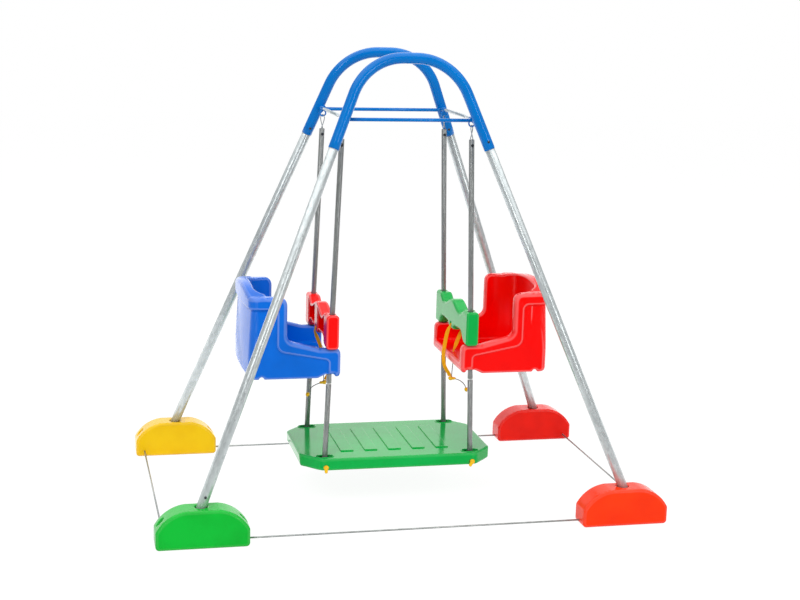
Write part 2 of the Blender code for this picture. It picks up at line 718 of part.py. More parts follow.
def foot_pocket(name, hand, side, pocket_hand):
    """Oval recess in a shoulder, where the foot is filled."""
    middle = Vector(((FOOT_CROWN_HALF + 3 * FOOT_HALF_LENGTH) / 4, (FOOT_HEIGHT + 3 * FOOT_END_Z) / 4))
    slope = math.atan2(FOOT_HEIGHT - FOOT_END_Z, FOOT_HALF_LENGTH - FOOT_CROWN_HALF) + math.radians(8)
    outline = []
    for step in range(TUBE_SIDES):
        turn = math.tau * step / TUBE_SIDES
        outline.append((POCKET_HALF_LENGTH * math.cos(turn), POCKET_HALF_WIDTH * math.sin(turn)))
    pocket = prism(name, outline, -POCKET_DEPTH, POCKET_DEPTH * 2, "Z")
    tilt = Matrix.Rotation(pocket_hand * slope, 4, "Y")
    place = Matrix.Translation((hand * FOOT_X + pocket_hand * middle.x, side * FOOT_Y, middle.y))
    pocket.data.transform(place @ tilt)
    return pocket


def make_front_rod(name, side):
    half = FOOT_X - FOOT_HALF_LENGTH + ROD_INSERT
    ends = [Vector((hand * half, side * FOOT_Y, FRONT_ROD_Z)) for hand in (-1, 1)]
    return rod(name, ends[0], ends[1], ROD_RADIUS, SMALL_SIDES, galvanised())


def make_side_rod(name, hand):
    half = FOOT_Y - FOOT_HALF_WIDTH + ROD_INSERT
    ends = [Vector((hand * SIDE_ROD_X, side * half, SIDE_ROD_Z)) for side in (-1, 1)]
    return rod(name, ends[0], ends[1], ROD_RADIUS, SMALL_SIDES, galvanised())


def pole_point(z, side):
    """A point at height z on a right-hand pole, which runs from its ring to its footboard pin."""
    share = (HINGE_Z - z) / (HINGE_Z - FOOT_PIN_Z)
    return Vector((HINGE_X + (FOOT_PIN_X - HINGE_X) * share, side * POLE_Y, z))


def make_upper_pole(name, side):
    bottom = pole_point(POLE_NOTCH_Z + BOSS_FLOOR + TOUCH_GAP, side)
    pole = pipe(name, bottom, pole_point(POLE_TOP_Z, side), POLE_RADIUS, POLE_WALL, POLE_SIDES, bare_steel())
    across = Vector((0.0, POLE_RADIUS * 2, 0.0))
    pin = pole_point(HANGER_PIN_Z, side)
    return cut(pole, rod(name + "_pin_hole", pin - across, pin + across,
                         HANGER_PIN_RADIUS + RUNNING_GAP, SMALL_SIDES))


def make_lower_pole(name, side):
    """Pole with a swaged top: the seat sits on its cone and the spigot fills the upper pole."""
    bottom = pole_point(FOOT_PIN_Z - POLE_END_BELOW_PIN, side)
    cone_top = (pole_point(POLE_NOTCH_Z - TOUCH_GAP, side) - bottom).length
    cone_base = cone_top - SHOULDER_LENGTH
    top = cone_top + BOSS_FLOOR + NECK_LENGTH
    neck = POLE_RADIUS - POLE_WALL - RUNNING_GAP
    bore = neck - POLE_WALL
    profile = [(POLE_RADIUS, 0.0), (POLE_RADIUS, cone_base), (neck, cone_top), (neck, top),
               (bore, top), (bore, 0.0)]
    pole = turned(name, profile, bottom, pole_point(POLE_TOP_Z, side), POLE_SIDES, bare_steel())
    across = Vector((0.0, POLE_RADIUS * 2, 0.0))
    pin = pole_point(FOOT_PIN_Z, side)
    return cut(pole, rod(name + "_pin_hole", pin - across, pin + across,
                         BOARD_PIN_RADIUS + RUNNING_GAP, POLE_SIDES))


def make_hanger_pin(name, side):
    centre = pole_point(HANGER_PIN_Z, side)
    half = POLE_RADIUS + TOUCH_GAP
    head = half + HANGER_PIN_HEAD_LENGTH
    profile = [(0.0, -head), (HANGER_PIN_HEAD, -head), (HANGER_PIN_HEAD, -half),
               (HANGER_PIN_RADIUS, -half), (HANGER_PIN_RADIUS, half), (HANGER_PIN_HEAD, half),
               (HANGER_PIN_HEAD, head), (0.0, head)]
    return turned(name, profile, centre, centre + Vector((0.0, 1.0, 0.0)), SMALL_SIDES, dark_steel())


def make_link(name, side):
    """Crossed wire loop: its top goes through the ring, its bottom round the hanger pin."""
    top = HINGE_Z - RING_RADIUS + RING_WIRE + LINK_WIRE + LINK_GAP
    bottom = HANGER_PIN_Z - HANGER_PIN_RADIUS - LINK_WIRE - LINK_GAP
    middle = (top + bottom) / 2
    reach = (top - bottom) / 2
    lean = (FOOT_PIN_X - HINGE_X) / (HINGE_Z - FOOT_PIN_Z)
    points = []
    steps = 26
    for step in range(steps):
        turn = math.tau * step / steps
        z = middle + reach * math.cos(turn)
        x = HINGE_X + lean * (HINGE_Z - z) + LINK_HALF_WIDTH * math.sin(2 * turn)
        y = side * POLE_Y + LINK_HALF_DEPTH * math.sin(turn) * (1 + math.cos(turn)) / 2
        points.append(Vector((x, y, z)))
    return swept_tube(name, points, LINK_WIRE, WIRE_SIDES, galvanised(), closed=True)


def seat_side_outline():
    """Side view of the seat, front at the left, anticlockwise from the front of the base."""
    pole_x = pole_point(POLE_NOTCH_Z, 1).x
    dent_x = SEAT_BACK_X - SEAT_DENT_FROM_BACK
    base = SEAT_BOTTOM_Z
    return rounded_outline([
        (SEAT_FRONT_X, base + 0.004, 0.010),
        (pole_x - POLE_NOTCH_HALF - 0.006, base + 0.004, 0.0),
        (pole_x - POLE_NOTCH_HALF, POLE_NOTCH_Z, 0.0),
        (pole_x + POLE_NOTCH_HALF, POLE_NOTCH_Z, 0.0),
        (pole_x + POLE_NOTCH_HALF + 0.026, base, 0.0),
        (dent_x - SEAT_DENT_HALF, base, 0.0),
        (dent_x - SEAT_DENT_HALF * 0.4, base + SEAT_DENT_DEPTH, 0.0),
        (dent_x + SEAT_DENT_HALF * 0.4, base + SEAT_DENT_DEPTH, 0.0),
        (dent_x + SEAT_DENT_HALF, base, 0.0),
        (SEAT_BACK_X + SEAT_BACK_BULGE, base, 0.024),
        (SEAT_BACK_X + SEAT_BACK_BULGE, SEAT_BACK_Z + SEAT_TRIM, 0.006),
        (SEAT_BACK_X - SEAT_BACK_WALL, SEAT_BACK_Z + SEAT_TRIM, 0.0),
        (SEAT_BACK_X - SEAT_BACK_WALL - 0.015, SEAT_WING_Z + SEAT_TRIM, 0.0),
        (SEAT_WING_X, SEAT_WING_Z + SEAT_TRIM, 0.030),
        (SEAT_WING_X, SEAT_ARM_REAR_Z, 0.024),
        (SEAT_ARM_FLAT_X, SEAT_ARM_Z, 0.0),
        (SEAT_FRONT_X, SEAT_ARM_Z, 0.016),
    ])


def seat_plan_outline():
    """Seat from above, anticlockwise, with a back that bulges between the corners."""
    corners = [(SEAT_FRONT_X, SEAT_HALF_WIDTH, 0.012), (SEAT_FRONT_X, -SEAT_HALF_WIDTH, 0.012),
               (SEAT_BACK_X, -SEAT_HALF_WIDTH, 0.014)]
    bulge_steps = 8
    for step in range(1, bulge_steps):
        y = -SEAT_HALF_WIDTH + 2 * SEAT_HALF_WIDTH * step / bulge_steps
        x = SEAT_BACK_X + SEAT_BACK_BULGE * math.cos(math.pi * y / (2 * SEAT_HALF_WIDTH))
        corners.append((x, y, 0.0))
    corners.append((SEAT_BACK_X, SEAT_HALF_WIDTH, 0.014))
    return rounded_outline(corners)


def rim_arch(name, low):
    """Everything under the rim, whose back part rises in a low arch between the wings."""
    half = SEAT_HALF_WIDTH - SEAT_SIDE_WALL + SEAT_TRIM
    steps = 7
    arch = []
    for step in range(steps + 1):
        y = half - 2 * half * step / steps
        arch.append((y, SEAT_WING_Z + (SEAT_BACK_Z - SEAT_WING_Z) * math.cos(math.pi * y / (2 * half))))
    wide = SEAT_HALF_WIDTH + 0.02
    outline = [(-wide, SEAT_BOTTOM_Z - 0.1), (wide, SEAT_BOTTOM_Z - 0.1), (wide, SEAT_WING_Z), *arch,
               (-wide, SEAT_WING_Z)]
    shifted = [(y, z - low) for y, z in outline]
    return prism(name, shifted, SEAT_FRONT_X - 0.1, SEAT_BACK_X + 0.1, "X")


def cavity(name, grow, low):
    """Space for the child, open to the front and the top."""
    half = SEAT_HALF_WIDTH - SEAT_SIDE_WALL + grow
    back = SEAT_BACK_X + SEAT_BACK_BULGE - SEAT_BACK_WALL + grow
    outline = rounded_outline([
        (SEAT_FRONT_X - 0.1, -half, 0.0), (back, -half, SEAT_CAVITY_CORNER),
        (back, half, SEAT_CAVITY_CORNER), (SEAT_FRONT_X - 0.1, half, 0.0)], steps=6)
    return prism(name, outline, low, SEAT_BACK_Z + 0.1, "Z")


def seat_hollow(name):
    """Space between the seat's two skins, open underneath, less the pole bosses and the ribs."""
    side_view = inset_outline(seat_side_outline(), SEAT_SKIN)
    open_below = SEAT_BOTTOM_Z + 0.035
    dropped = [(x, z - 0.06 if z < open_below else z) for x, z in side_view]
    wide = SEAT_HALF_WIDTH + 0.01
    hollow = prism(name, dropped, -wide, wide, "Y")
    plan = inset_outline(seat_plan_outline(), SEAT_PANEL_DEPTH + SEAT_SKIN)
    boolean(hollow, prism(name + "_plan", plan, SEAT_BOTTOM_Z - 0.1, SEAT_BACK_Z + 0.1, "Z"), "INTERSECT")
    boolean(hollow, rim_arch(name + "_rim", SEAT_SKIN), "INTERSECT")
    cut(hollow, cavity(name + "_inner_skin", SEAT_SKIN, SEAT_PAN_Z - SEAT_SKIN))
    boss = POLE_RADIUS + RUNNING_GAP + BOSS_WALL
    for side_name, side in FRONT_BACK:
        cut(hollow, rod(name + "_boss_" + side_name, pole_point(SEAT_BOTTOM_Z - 0.02, side),
                        pole_point(SEAT_ARM_Z + 0.02, side), boss, TUBE_SIDES))
    deep = SEAT_BOTTOM_Z - 0.1
    for rib_name, rib_y in (("near", -SEAT_RIB_Y), ("far", SEAT_RIB_Y)):
        cut(hollow, box(name + "_rib_" + rib_name, (SEAT_FRONT_X, rib_y - SEAT_RIB / 2, SEAT_BOTTOM_Z + 0.004),
                        (SEAT_BACK_X + 0.02, rib_y + SEAT_RIB / 2, SEAT_PAN_Z)))
    cut(hollow, box(name + "_rib_cross", (SEAT_RIB_X - SEAT_RIB / 2, -wide, SEAT_BOTTOM_Z + 0.004),
                    (SEAT_RIB_X + SEAT_RIB / 2, wide, SEAT_PAN_Z)))
    return hollow


def side_panel(name, side):
    """Sunk panel in one side, inside the raised band along the wing, armrest and front."""
    band = SEAT_BAND
    outline = rounded_outline([
        (SEAT_FRONT_X + band + 0.010, SEAT_BOTTOM_Z - 0.02, 0.0),
        (SEAT_BACK_X + 0.05, SEAT_BOTTOM_Z - 0.02, 0.0),
        (SEAT_BACK_X + 0.05, SEAT_WING_Z - SEAT_LIP, 0.0),
        (SEAT_WING_X + band, SEAT_WING_Z - SEAT_LIP, 0.016),
        (SEAT_WING_X + band, SEAT_ARM_REAR_Z - band, 0.026),
        (SEAT_FRONT_X + band + 0.010, SEAT_ARM_Z - band - 0.004, 0.012)], steps=3)
    outer = side * (SEAT_HALF_WIDTH + 0.01)
    inner = side * (SEAT_HALF_WIDTH - SEAT_PANEL_DEPTH)
    return prism(name, outline, min(outer, inner), max(outer, inner), "Y")


def back_panel(name):
    """Sunk panel across the back, under the rim."""
    plan = seat_plan_outline()
    inner = [(x - SEAT_PANEL_DEPTH, y) for x, y in plan if x > SEAT_BACK_X - 0.02]
    inner.sort(key=lambda point: point[1])
    wide = SEAT_HALF_WIDTH + 0.01
    far = SEAT_BACK_X + 0.06
    outline = [(far, wide), (inner[-1][0], wide), *inner[::-1], (inner[0][0], -wide), (far, -wide)]
    return prism(name, outline, SEAT_BOTTOM_Z - 0.02, SEAT_WING_Z - SEAT_LIP, "Z")


def make_seat(name, finish):
    wide = SEAT_HALF_WIDTH + 0.01
    seat = prism(name, seat_side_outline(), -wide, wide, "Y", finish)
    plan = prism(name + "_plan", seat_plan_outline(), SEAT_BOTTOM_Z - 0.1, SEAT_BACK_Z + 0.1, "Z")
    boolean(seat, plan, "INTERSECT")
    boolean(seat, rim_arch(name + "_rim", 0.0), "INTERSECT")
    cut(seat, cavity(name + "_cavity", 0.0, SEAT_PAN_Z))
    for side_name, side in FRONT_BACK:
        cut(seat, side_panel(name + "_panel_" + side_name, side))
    cut(seat, back_panel(name + "_panel_rear"))
    cut(seat, seat_hollow(name + "_hollow"))
    bore = POLE_RADIUS + RUNNING_GAP
    neck = POLE_RADIUS - POLE_WALL
    for side_name, side in FRONT_BACK:
        cut(seat, rod(name + "_pole_bore_" + side_name, pole_point(POLE_NOTCH_Z + BOSS_FLOOR, side),
                      pole_point(SEAT_ARM_Z + 0.05, side), bore, TUBE_SIDES))
        cut(seat, rod(name + "_neck_bore_" + side_name, pole_point(POLE_NOTCH_Z - 0.02, side),
                      pole_point(POLE_NOTCH_Z + BOSS_FLOOR + 0.01, side), neck, TUBE_SIDES))
    cut(seat, box(name + "_strap_slot",
                  (PAN_SLOT_X - PAN_SLOT_HALF_X, -PAN_SLOT_HALF_Y, SEAT_PAN_Z - 0.02),
                  (PAN_SLOT_X + PAN_SLOT_HALF_X, PAN_SLOT_HALF_Y, SEAT_PAN_Z + 0.02)))
    return seat


def bar_bottom_z():
    return SEAT_ARM_Z + TOUCH_GAP


def bar_top_knots():
    top = bar_bottom_z() + BAR_HEIGHT
    return [(0.0, top + BAR_BUMP_RISE), (BAR_VALLEY_Y, top - BAR_VALLEY_DROP),
            (BAR_HALF_LENGTH - BAR_SLEEVE, top), (BAR_HALF_LENGTH, top)]


def bar_low_knots():
    low = bar_bottom_z()
    blend = BAR_TAB_HALF + BAR_TAB_BLEND
    return [(0.0, BAR_TAB_Z), (BAR_TAB_HALF, BAR_TAB_Z + 0.001), (blend, BAR_ARCH_Z - 0.003),
            (BAR_ARCH_Y, BAR_ARCH_Z), (BAR_HALF_LENGTH - BAR_SLEEVE + BAR_SLEEVE_BLEND, low),
            (BAR_HALF_LENGTH, low)]


def bar_face_outline():
    """Front view of the safety bar, anticlockwise: scalloped below, waved above."""
    steps = 18
    half_points = [BAR_HALF_LENGTH * step / steps for step in range(steps + 1)]
    low_right = [(y, wave(bar_low_knots(), y)) for y in half_points]
    top_right = [(y, wave(bar_top_knots(), y)) for y in reversed(half_points)]
    low_left = [(-y, z) for y, z in reversed(low_right)]
    top_left = [(-y, z) for y, z in reversed(top_right)]
    return low_left[:-1] + low_right + top_right[:-1] + top_left


def bar_pocket(name, side):
    """Hollow in the child's side of the bar, between the middle web and one sleeve."""
    start = BAR_WEB_HALF
    end = BAR_HALF_LENGTH - BAR_SLEEVE - 0.004
    steps = 7
    spots = [start + (end - start) * step / steps for step in range(steps + 1)]
    low = [(side * y, wave(bar_low_knots(), y) + BAR_RIM) for y in spots]
    top = [(side * y, wave(bar_top_knots(), y) - BAR_RIM) for y in reversed(spots)]
    back = BAR_FRONT_X + BAR_DEPTH + 0.01
    return prism(name, low + top, BAR_FRONT_X + BAR_FRONT_WALL, back, "X")


def make_bar(name, finish):
    bar = prism(name, bar_face_outline(), BAR_FRONT_X, BAR_FRONT_X + BAR_DEPTH, "X", finish)
    soften(bar, BAR_EDGE, segments=1)
    low = bar_bottom_z() - 0.02
    high = bar_bottom_z() + BAR_HEIGHT + 0.02
    for side_name, side in FRONT_BACK:
        cut(bar, bar_pocket(name + "_pocket_" + side_name, side))
        cut(bar, rod(name + "_bore_" + side_name, pole_point(low, side), pole_point(high, side),
                     POLE_RADIUS + RUNNING_GAP, TUBE_SIDES))
    cut(bar, box(name + "_strap_slot",
                 (BAR_FRONT_X - 0.01, -BAR_SLOT_HALF_Y, BAR_SLOT_Z - BAR_SLOT_HALF_Z),
                 (BAR_FRONT_X + BAR_DEPTH + 0.01, BAR_SLOT_HALF_Y, BAR_SLOT_Z + BAR_SLOT_HALF_Z)))
    return bar


def strap_path():
    """Side view of the strap: toggle, over the seat's front edge, through the bar, into the pan."""
    clear = STRAP_THICK / 2 + TOUCH_GAP
    front = SEAT_FRONT_X - clear
    bar_front = BAR_FRONT_X - clear
    bar_back = BAR_FRONT_X + BAR_DEPTH + clear
    toggle_top = TOGGLE_Z + TOGGLE_HALF_HEIGHT + TOUCH_GAP
    spots = [
        (TOGGLE_X - 0.0085, toggle_top), (TOGGLE_X - 0.0110, toggle_top + 0.009),
        (front + 0.0065, SEAT_BOTTOM_Z - 0.030), (front + 0.0006, SEAT_BOTTOM_Z - 0.014),
        (front, SEAT_BOTTOM_Z + 0.014), (front, SEAT_PAN_Z + 0.006),
        (bar_front - 0.008, BAR_SLOT_Z - 0.035), (bar_front - 0.0006, BAR_SLOT_Z - 0.009),
        (bar_front + 0.0025, BAR_SLOT_Z - 0.0008), (BAR_FRONT_X + 0.010, BAR_SLOT_Z + 0.001),
        (bar_back - 0.010, BAR_SLOT_Z + 0.001), (bar_back - 0.0015, BAR_SLOT_Z - 0.0008),
        (bar_back + 0.0008, BAR_SLOT_Z - 0.009), (bar_back + 0.0005, BAR_SLOT_Z - 0.020),
        (bar_back - 0.010, BAR_SLOT_Z - 0.046), (PAN_SLOT_X + 0.004, SEAT_PAN_Z + 0.011),
        (PAN_SLOT_X, SEAT_PAN_Z - 0.002), (PAN_SLOT_X, STRAP_END_Z),
    ]
    return [Vector(spot) for spot in spots]


def make_strap(name):
    outline = ribbon_outline(smooth_route(strap_path(), 0.008), STRAP_THICK)
    return prism(name, outline, -STRAP_WIDTH / 2, STRAP_WIDTH / 2, "Y", orange_webbing())


def cord_route():
    """Lanyard from the strap's end under the seat, through the toggle, out to its plug."""
    spots = [
        Vector((PAN_SLOT_X, 0.0, STRAP_END_Z - TOUCH_GAP)), Vector((0.2296, 0.0, 0.430)),
        Vector((0.2280, 0.0, 0.404)), Vector((0.2275, 0.0, 0.3890)), Vector((0.2305, 0.0, 0.3805)),
        Vector((0.2400, 0.0, 0.3770)),
        Vector((0.2540, 0.0, 0.3725)), Vector((0.2685, -0.002, 0.3645)), Vector((0.2790, -0.003, 0.3545)),
        Vector((0.2845, -0.003, 0.3445)),
    ]
    return smooth_route(spots, 0.0065)


def make_lanyard(name):
    return swept_tube(name, cord_route(), CORD_RADIUS, 8, grey_cord())


def make_toggle(name):
    """Moulded clip under the seat that holds the webbing and lets the cord run through."""
    toggle = box(name, (TOGGLE_X - TOGGLE_HALF_LENGTH, -TOGGLE_HALF_WIDTH, TOGGLE_Z - TOGGLE_HALF_HEIGHT),
                 (TOGGLE_X + TOGGLE_HALF_LENGTH, TOGGLE_HALF_WIDTH, TOGGLE_Z + TOGGLE_HALF_HEIGHT),
                 yellow_plastic())
    soften(toggle, 0.0035)
    route = cord_route()
    near = [spot for spot in route if abs(spot.x - TOGGLE_X) < TOGGLE_HALF_LENGTH + 0.012
            and abs(spot.z - TOGGLE_Z) < TOGGLE_HALF_HEIGHT + 0.012]
    return cut(toggle, swept_tube(name + "_bore", near, CORD_RADIUS + RUNNING_GAP * 2, 8))


def make_plug(name):
    """Bead on the end of the lanyard that is pushed through the seat to lock the strap."""
    route = cord_route()
    heading = (route[-1] - route[-2]).normalized()
    start = route[-1] + heading * TOUCH_GAP
    profile = [(0.0, 0.0), (0.0025, 0.0), (PLUG_RADIUS * 0.8, PLUG_LENGTH * 0.22),
               (PLUG_RADIUS, PLUG_LENGTH * 0.5), (PLUG_RADIUS * 0.8, PLUG_LENGTH * 0.8),
               (PLUG_RADIUS * 0.4, PLUG_LENGTH), (0.0, PLUG_LENGTH)]
    return turned(name, profile, start, start + heading, POLE_SIDES, yellow_plastic())


def board_outline():
    x = BOARD_HALF_LENGTH
    y = BOARD_HALF_WIDTH
    corner = BOARD_CORNER
    near_x = x - BOARD_CHAMFER_X
    near_y = y - BOARD_CHAMFER_Y
    return rounded_outline([
        (-near_x, -y, corner), (near_x, -y, corner), (x, -near_y, corner), (x, near_y, corner),
        (near_x, y, corner), (-near_x, y, corner), (-x, near_y, corner), (-x, -near_y, corner)], steps=2)


def slot_outline(centre_x, centre_y, half_length, half_width):
    """Rounded slot along X."""
    return rounded_outline([
        (centre_x - half_length, centre_y - half_width, half_width * 0.96),
        (centre_x + half_length, centre_y - half_width, half_width * 0.96),
        (centre_x + half_length, centre_y + half_width, half_width * 0.96),
        (centre_x - half_length, centre_y + half_width, half_width * 0.96)], steps=3)


def pole_slots():
    for hand_name, hand in LEFT_RIGHT:
        for side_name, side in FRONT_BACK:
            yield side_name + "_" + hand_name, hand, side


def board_hollow(name):
    """Underside of the footboard: everything inside its skin, less the slot walls and the ribs."""
    bottom = BOARD_TOP_Z - BOARD_THICK
    roof = BOARD_TOP_Z - BOARD_SKIN
    hollow = prism(name, inset_outline(board_outline(), BOARD_SKIN), bottom - 0.02, roof, "Z")
    for slot_name, hand, side in pole_slots():
        outline = slot_outline(hand * FOOT_PIN_X, side * POLE_Y, SLOT_HALF_LENGTH + BOARD_SKIN,
                               SLOT_HALF_WIDTH + BOARD_SKIN)
        cut(hollow, prism(name + "_wall_" + slot_name, outline, bottom, roof + 0.01, "Z"))
    wide = BOARD_HALF_WIDTH + 0.01
    for index in range(TREAD_COUNT + 1):
        x = (index - TREAD_COUNT / 2) * TREAD_PITCH
        if abs(x) < FOOT_PIN_X - SLOT_HALF_LENGTH - 2 * BOARD_SKIN:
            cut(hollow, box(name + "_rib_%d" % index, (x - BOARD_RIB / 2, -wide, bottom + 0.006),
                            (x + BOARD_RIB / 2, wide, roof + 0.01)))
    return hollow


def make_board(name):
    bottom = BOARD_TOP_Z - BOARD_THICK
    board = prism(name, board_outline(), bottom, BOARD_TOP_Z, "Z", green_plastic())
    soften(board, BOARD_EDGE, segments=1)
    cut(board, board_hollow(name + "_hollow"))
    for slot_name, hand, side in pole_slots():
        outline = slot_outline(hand * FOOT_PIN_X, side * POLE_Y, SLOT_HALF_LENGTH, SLOT_HALF_WIDTH)
        cut(board, prism(name + "_slot_" + slot_name, outline, bottom - 0.01, BOARD_TOP_Z + 0.01, "Z"))
        play = BOARD_PIN_PLAY if hand > 0 else 0.0
        cut(board, pin_hole(name + "_pin_hole_" + slot_name, hand, side, play))
    for index in range(TREAD_COUNT):
        x = (index - (TREAD_COUNT - 1) / 2) * TREAD_PITCH
        join(board, box(name + "_tread_%d" % index,
                        (x - TREAD_WIDTH / 2, -TREAD_HALF_LENGTH, BOARD_TOP_Z - BOARD_SKIN / 2),
                        (x + TREAD_WIDTH / 2, TREAD_HALF_LENGTH, BOARD_TOP_Z + TREAD_HEIGHT)))
    return board


def pin_hole(name, hand, side, play):
    """Hole for a footboard pin, drawn out sideways by the play."""
    radius = BOARD_PIN_RADIUS + RUNNING_GAP
    outline = []
    half_steps = POLE_SIDES // 2
    for end in (1, -1):
        for step in range(half_steps + 1):
            turn = math.pi * step / half_steps - math.pi / 2
            x = end * (play + radius * math.cos(turn))
            outline.append((hand * FOOT_PIN_X + x, FOOT_PIN_Z + end * radius * math.sin(turn)))
    if play == 0.0:
        outline = outline[:half_steps + 1] + outline[half_steps + 2:-1]
    low, high = sorted((side * (POLE_Y - SLOT_HALF_WIDTH - 2 * BOARD_SKIN), side * (BOARD_HALF_WIDTH + 0.01)))
    return prism(name, outline, low, high, "Y")


def make_board_pin(name, side):
    """Plastic pin through the footboard's edge and the pole, with a pull tab."""
    face = side * (BOARD_HALF_WIDTH + TOUCH_GAP)
    start = Vector((FOOT_PIN_X, face, FOOT_PIN_Z))
    inward = BOARD_HALF_WIDTH - POLE_Y + SLOT_HALF_WIDTH + BOARD_SKIN + 0.002
    profile = [(0.0, -inward), (BOARD_PIN_RADIUS, -inward), (BOARD_PIN_RADIUS, 0.0), (BOARD_PIN_HEAD, 0.0),
               (BOARD_PIN_HEAD, BOARD_PIN_HEAD_LENGTH), (0.0, BOARD_PIN_HEAD_LENGTH)]
    pin = turned(name, profile, start, start + Vector((0.0, side, 0.0)), POLE_SIDES, yellow_plastic())
    low, high = sorted((face + side * 0.0005, face + side * (BOARD_PIN_HEAD_LENGTH - 0.0005)))
    tab = box(name + "_tab", (FOOT_PIN_X - BOARD_PIN_TAB_WIDTH / 2, low,
                              FOOT_PIN_Z - BOARD_PIN_HEAD - BOARD_PIN_TAB_LENGTH + 0.007),
              (FOOT_PIN_X + BOARD_PIN_TAB_WIDTH / 2, high, FOOT_PIN_Z - 0.002))
    return join(pin, tab)


def axis_empty(name, place, turn=0.0, parent=None):
    """An empty on a joint's axis, which carries the pieces that move about it."""
    empty = bpy.data.objects.new(name, None)
    empty.empty_display_size = 0.05
    bpy.context.scene.collection.objects.link(empty)
    empty.location = place
    empty.rotation_euler[2] = turn
    if parent:
        empty.parent = parent
    return empty


def hang(piece, carrier, origin):
    """Parent a piece, modelled in the place of the right-hand side, to the empty that carries it."""
    piece.parent = carrier
    piece.matrix_parent_inverse = Matrix.Translation(-Vector(origin))
    return piece


def build_frame():
    for side_name, side in FRONT_BACK:
        make_arch("arch_" + side_name, side)
        make_crossbar("crossbar_" + side_name, side)
        make_front_rod("tie_rod_" + side_name, side)
    for hand_name, hand in LEFT_RIGHT:
        make_spacer("spacer_" + hand_name, hand)
        make_side_rod("tie_rod_" + hand_name, hand)
    feet = {"front_left": (green_plastic(), (-1, 1)), "back_left": (yellow_plastic(), (-1, 1)),
            "front_right": (orange_plastic(), (1,)), "back_right": (red_plastic(), (1,))}
    for side_name, side in FRONT_BACK:
        for hand_name, hand in LEFT_RIGHT:
            corner = side_name + "_" + hand_name
            make_bracket("ring_bracket_" + corner, hand, side)
            make_leg("leg_" + corner, hand, side)
            make_leg_screw("leg_screw_" + corner, hand, side)
            finish, pocket_hands = feet[corner]
            make_foot("foot_" + corner, hand, side, finish, pocket_hands)


def build_swing_side(hand_name, hand, seat_finish, bar_finish):
    """One pair of poles with its seat, safety bar and strap; the left side is turned half round."""
    origin = (HINGE_X, 0.0, HINGE_Z)
    turn = 0.0 if hand > 0 else math.pi
    hinge = axis_empty(hand_name + "_swing_axis", (hand * HINGE_X, 0.0, HINGE_Z), turn)
    bar_base = pole_point(bar_bottom_z(), 1)
    slide_place = (bar_base.x - HINGE_X, 0.0, bar_base.z - HINGE_Z)
    slide = axis_empty(hand_name + "_bar_slide", slide_place, parent=hinge)
    for side_name, side in FRONT_BACK:
        local = side if hand > 0 else -side
        corner = side_name + "_" + hand_name
        hang(make_upper_pole("upper_pole_" + corner, local), hinge, origin)
        hang(make_lower_pole("lower_pole_" + corner, local), hinge, origin)
        hang(make_hanger_pin("hanger_pin_" + corner, local), hinge, origin)
        hang(make_link("wire_link_" + corner, local), hinge, origin)
    hang(make_seat("seat_" + hand_name, seat_finish), hinge, origin)
    hang(make_strap("crotch_strap_" + hand_name), hinge, origin)
    hang(make_toggle("strap_toggle_" + hand_name), hinge, origin)
    hang(make_lanyard("lanyard_" + hand_name), hinge, origin)
    hang(make_plug("lanyard_plug_" + hand_name), hinge, origin)
    hang(make_bar("safety_bar_" + hand_name, bar_finish), slide, (bar_base.x, 0.0, bar_base.z))
    return hinge


def build_footboard(left_hinge, right_hinge):
    """Footboard on the left poles' pins; the right pair of pins rides on the right poles."""
    pin_place = pole_point(FOOT_PIN_Z, 1)
    pivot_place = (pin_place.x - HINGE_X, 0.0, pin_place.z - HINGE_Z)
    pivot = axis_empty("footboard_pivot", pivot_place, parent=left_hinge)
    board = make_board("footboard")
    board.parent = pivot
    board.rotation_euler[2] = math.pi
    board.matrix_parent_inverse = Matrix.Translation((-FOOT_PIN_X, 0.0, -FOOT_PIN_Z))
    for side_name, side in FRONT_BACK:
        left_pin = make_board_pin("footboard_pin_" + side_name + "_left", -side)
        hang(left_pin, pivot, (FOOT_PIN_X, 0.0, FOOT_PIN_Z))
        right_pin = make_board_pin("footboard_pin_" + side_name + "_right", side)
        hang(right_pin, right_hinge, (HINGE_X, 0.0, HINGE_Z))


clear_scene()
build_frame()
left = build_swing_side("left", -1, blue_plastic(), red_plastic())
right = build_swing_side("right", 1, red_plastic(), green_plastic())
build_footboard(left, right)
bpy.context.view_layer.update()
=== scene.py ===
"""Looks of the double swing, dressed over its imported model.

The file goes through the swing as it is put together: the cords first, then the feet and the frame,
the hanging gear, the poles, the seats with their bars and straps, and the footboard. Metres, +Z up.
"""
import math

import bpy
import numpy as np
from mathutils import Matrix, Vector


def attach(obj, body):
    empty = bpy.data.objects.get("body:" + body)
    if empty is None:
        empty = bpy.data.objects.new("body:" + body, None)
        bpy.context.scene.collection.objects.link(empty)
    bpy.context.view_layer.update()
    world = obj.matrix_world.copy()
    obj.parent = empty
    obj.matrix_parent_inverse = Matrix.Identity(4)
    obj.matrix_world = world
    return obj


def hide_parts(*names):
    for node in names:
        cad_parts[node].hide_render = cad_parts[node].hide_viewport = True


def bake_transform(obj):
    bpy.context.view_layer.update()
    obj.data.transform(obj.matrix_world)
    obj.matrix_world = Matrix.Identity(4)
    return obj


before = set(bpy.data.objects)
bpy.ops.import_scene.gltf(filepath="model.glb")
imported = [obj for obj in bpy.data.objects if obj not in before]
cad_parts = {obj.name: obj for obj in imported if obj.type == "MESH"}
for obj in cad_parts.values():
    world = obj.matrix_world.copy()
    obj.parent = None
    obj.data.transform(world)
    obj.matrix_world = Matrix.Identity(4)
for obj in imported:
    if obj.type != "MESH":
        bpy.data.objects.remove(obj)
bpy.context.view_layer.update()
bpy.context.scene.view_settings.view_transform = "Standard"


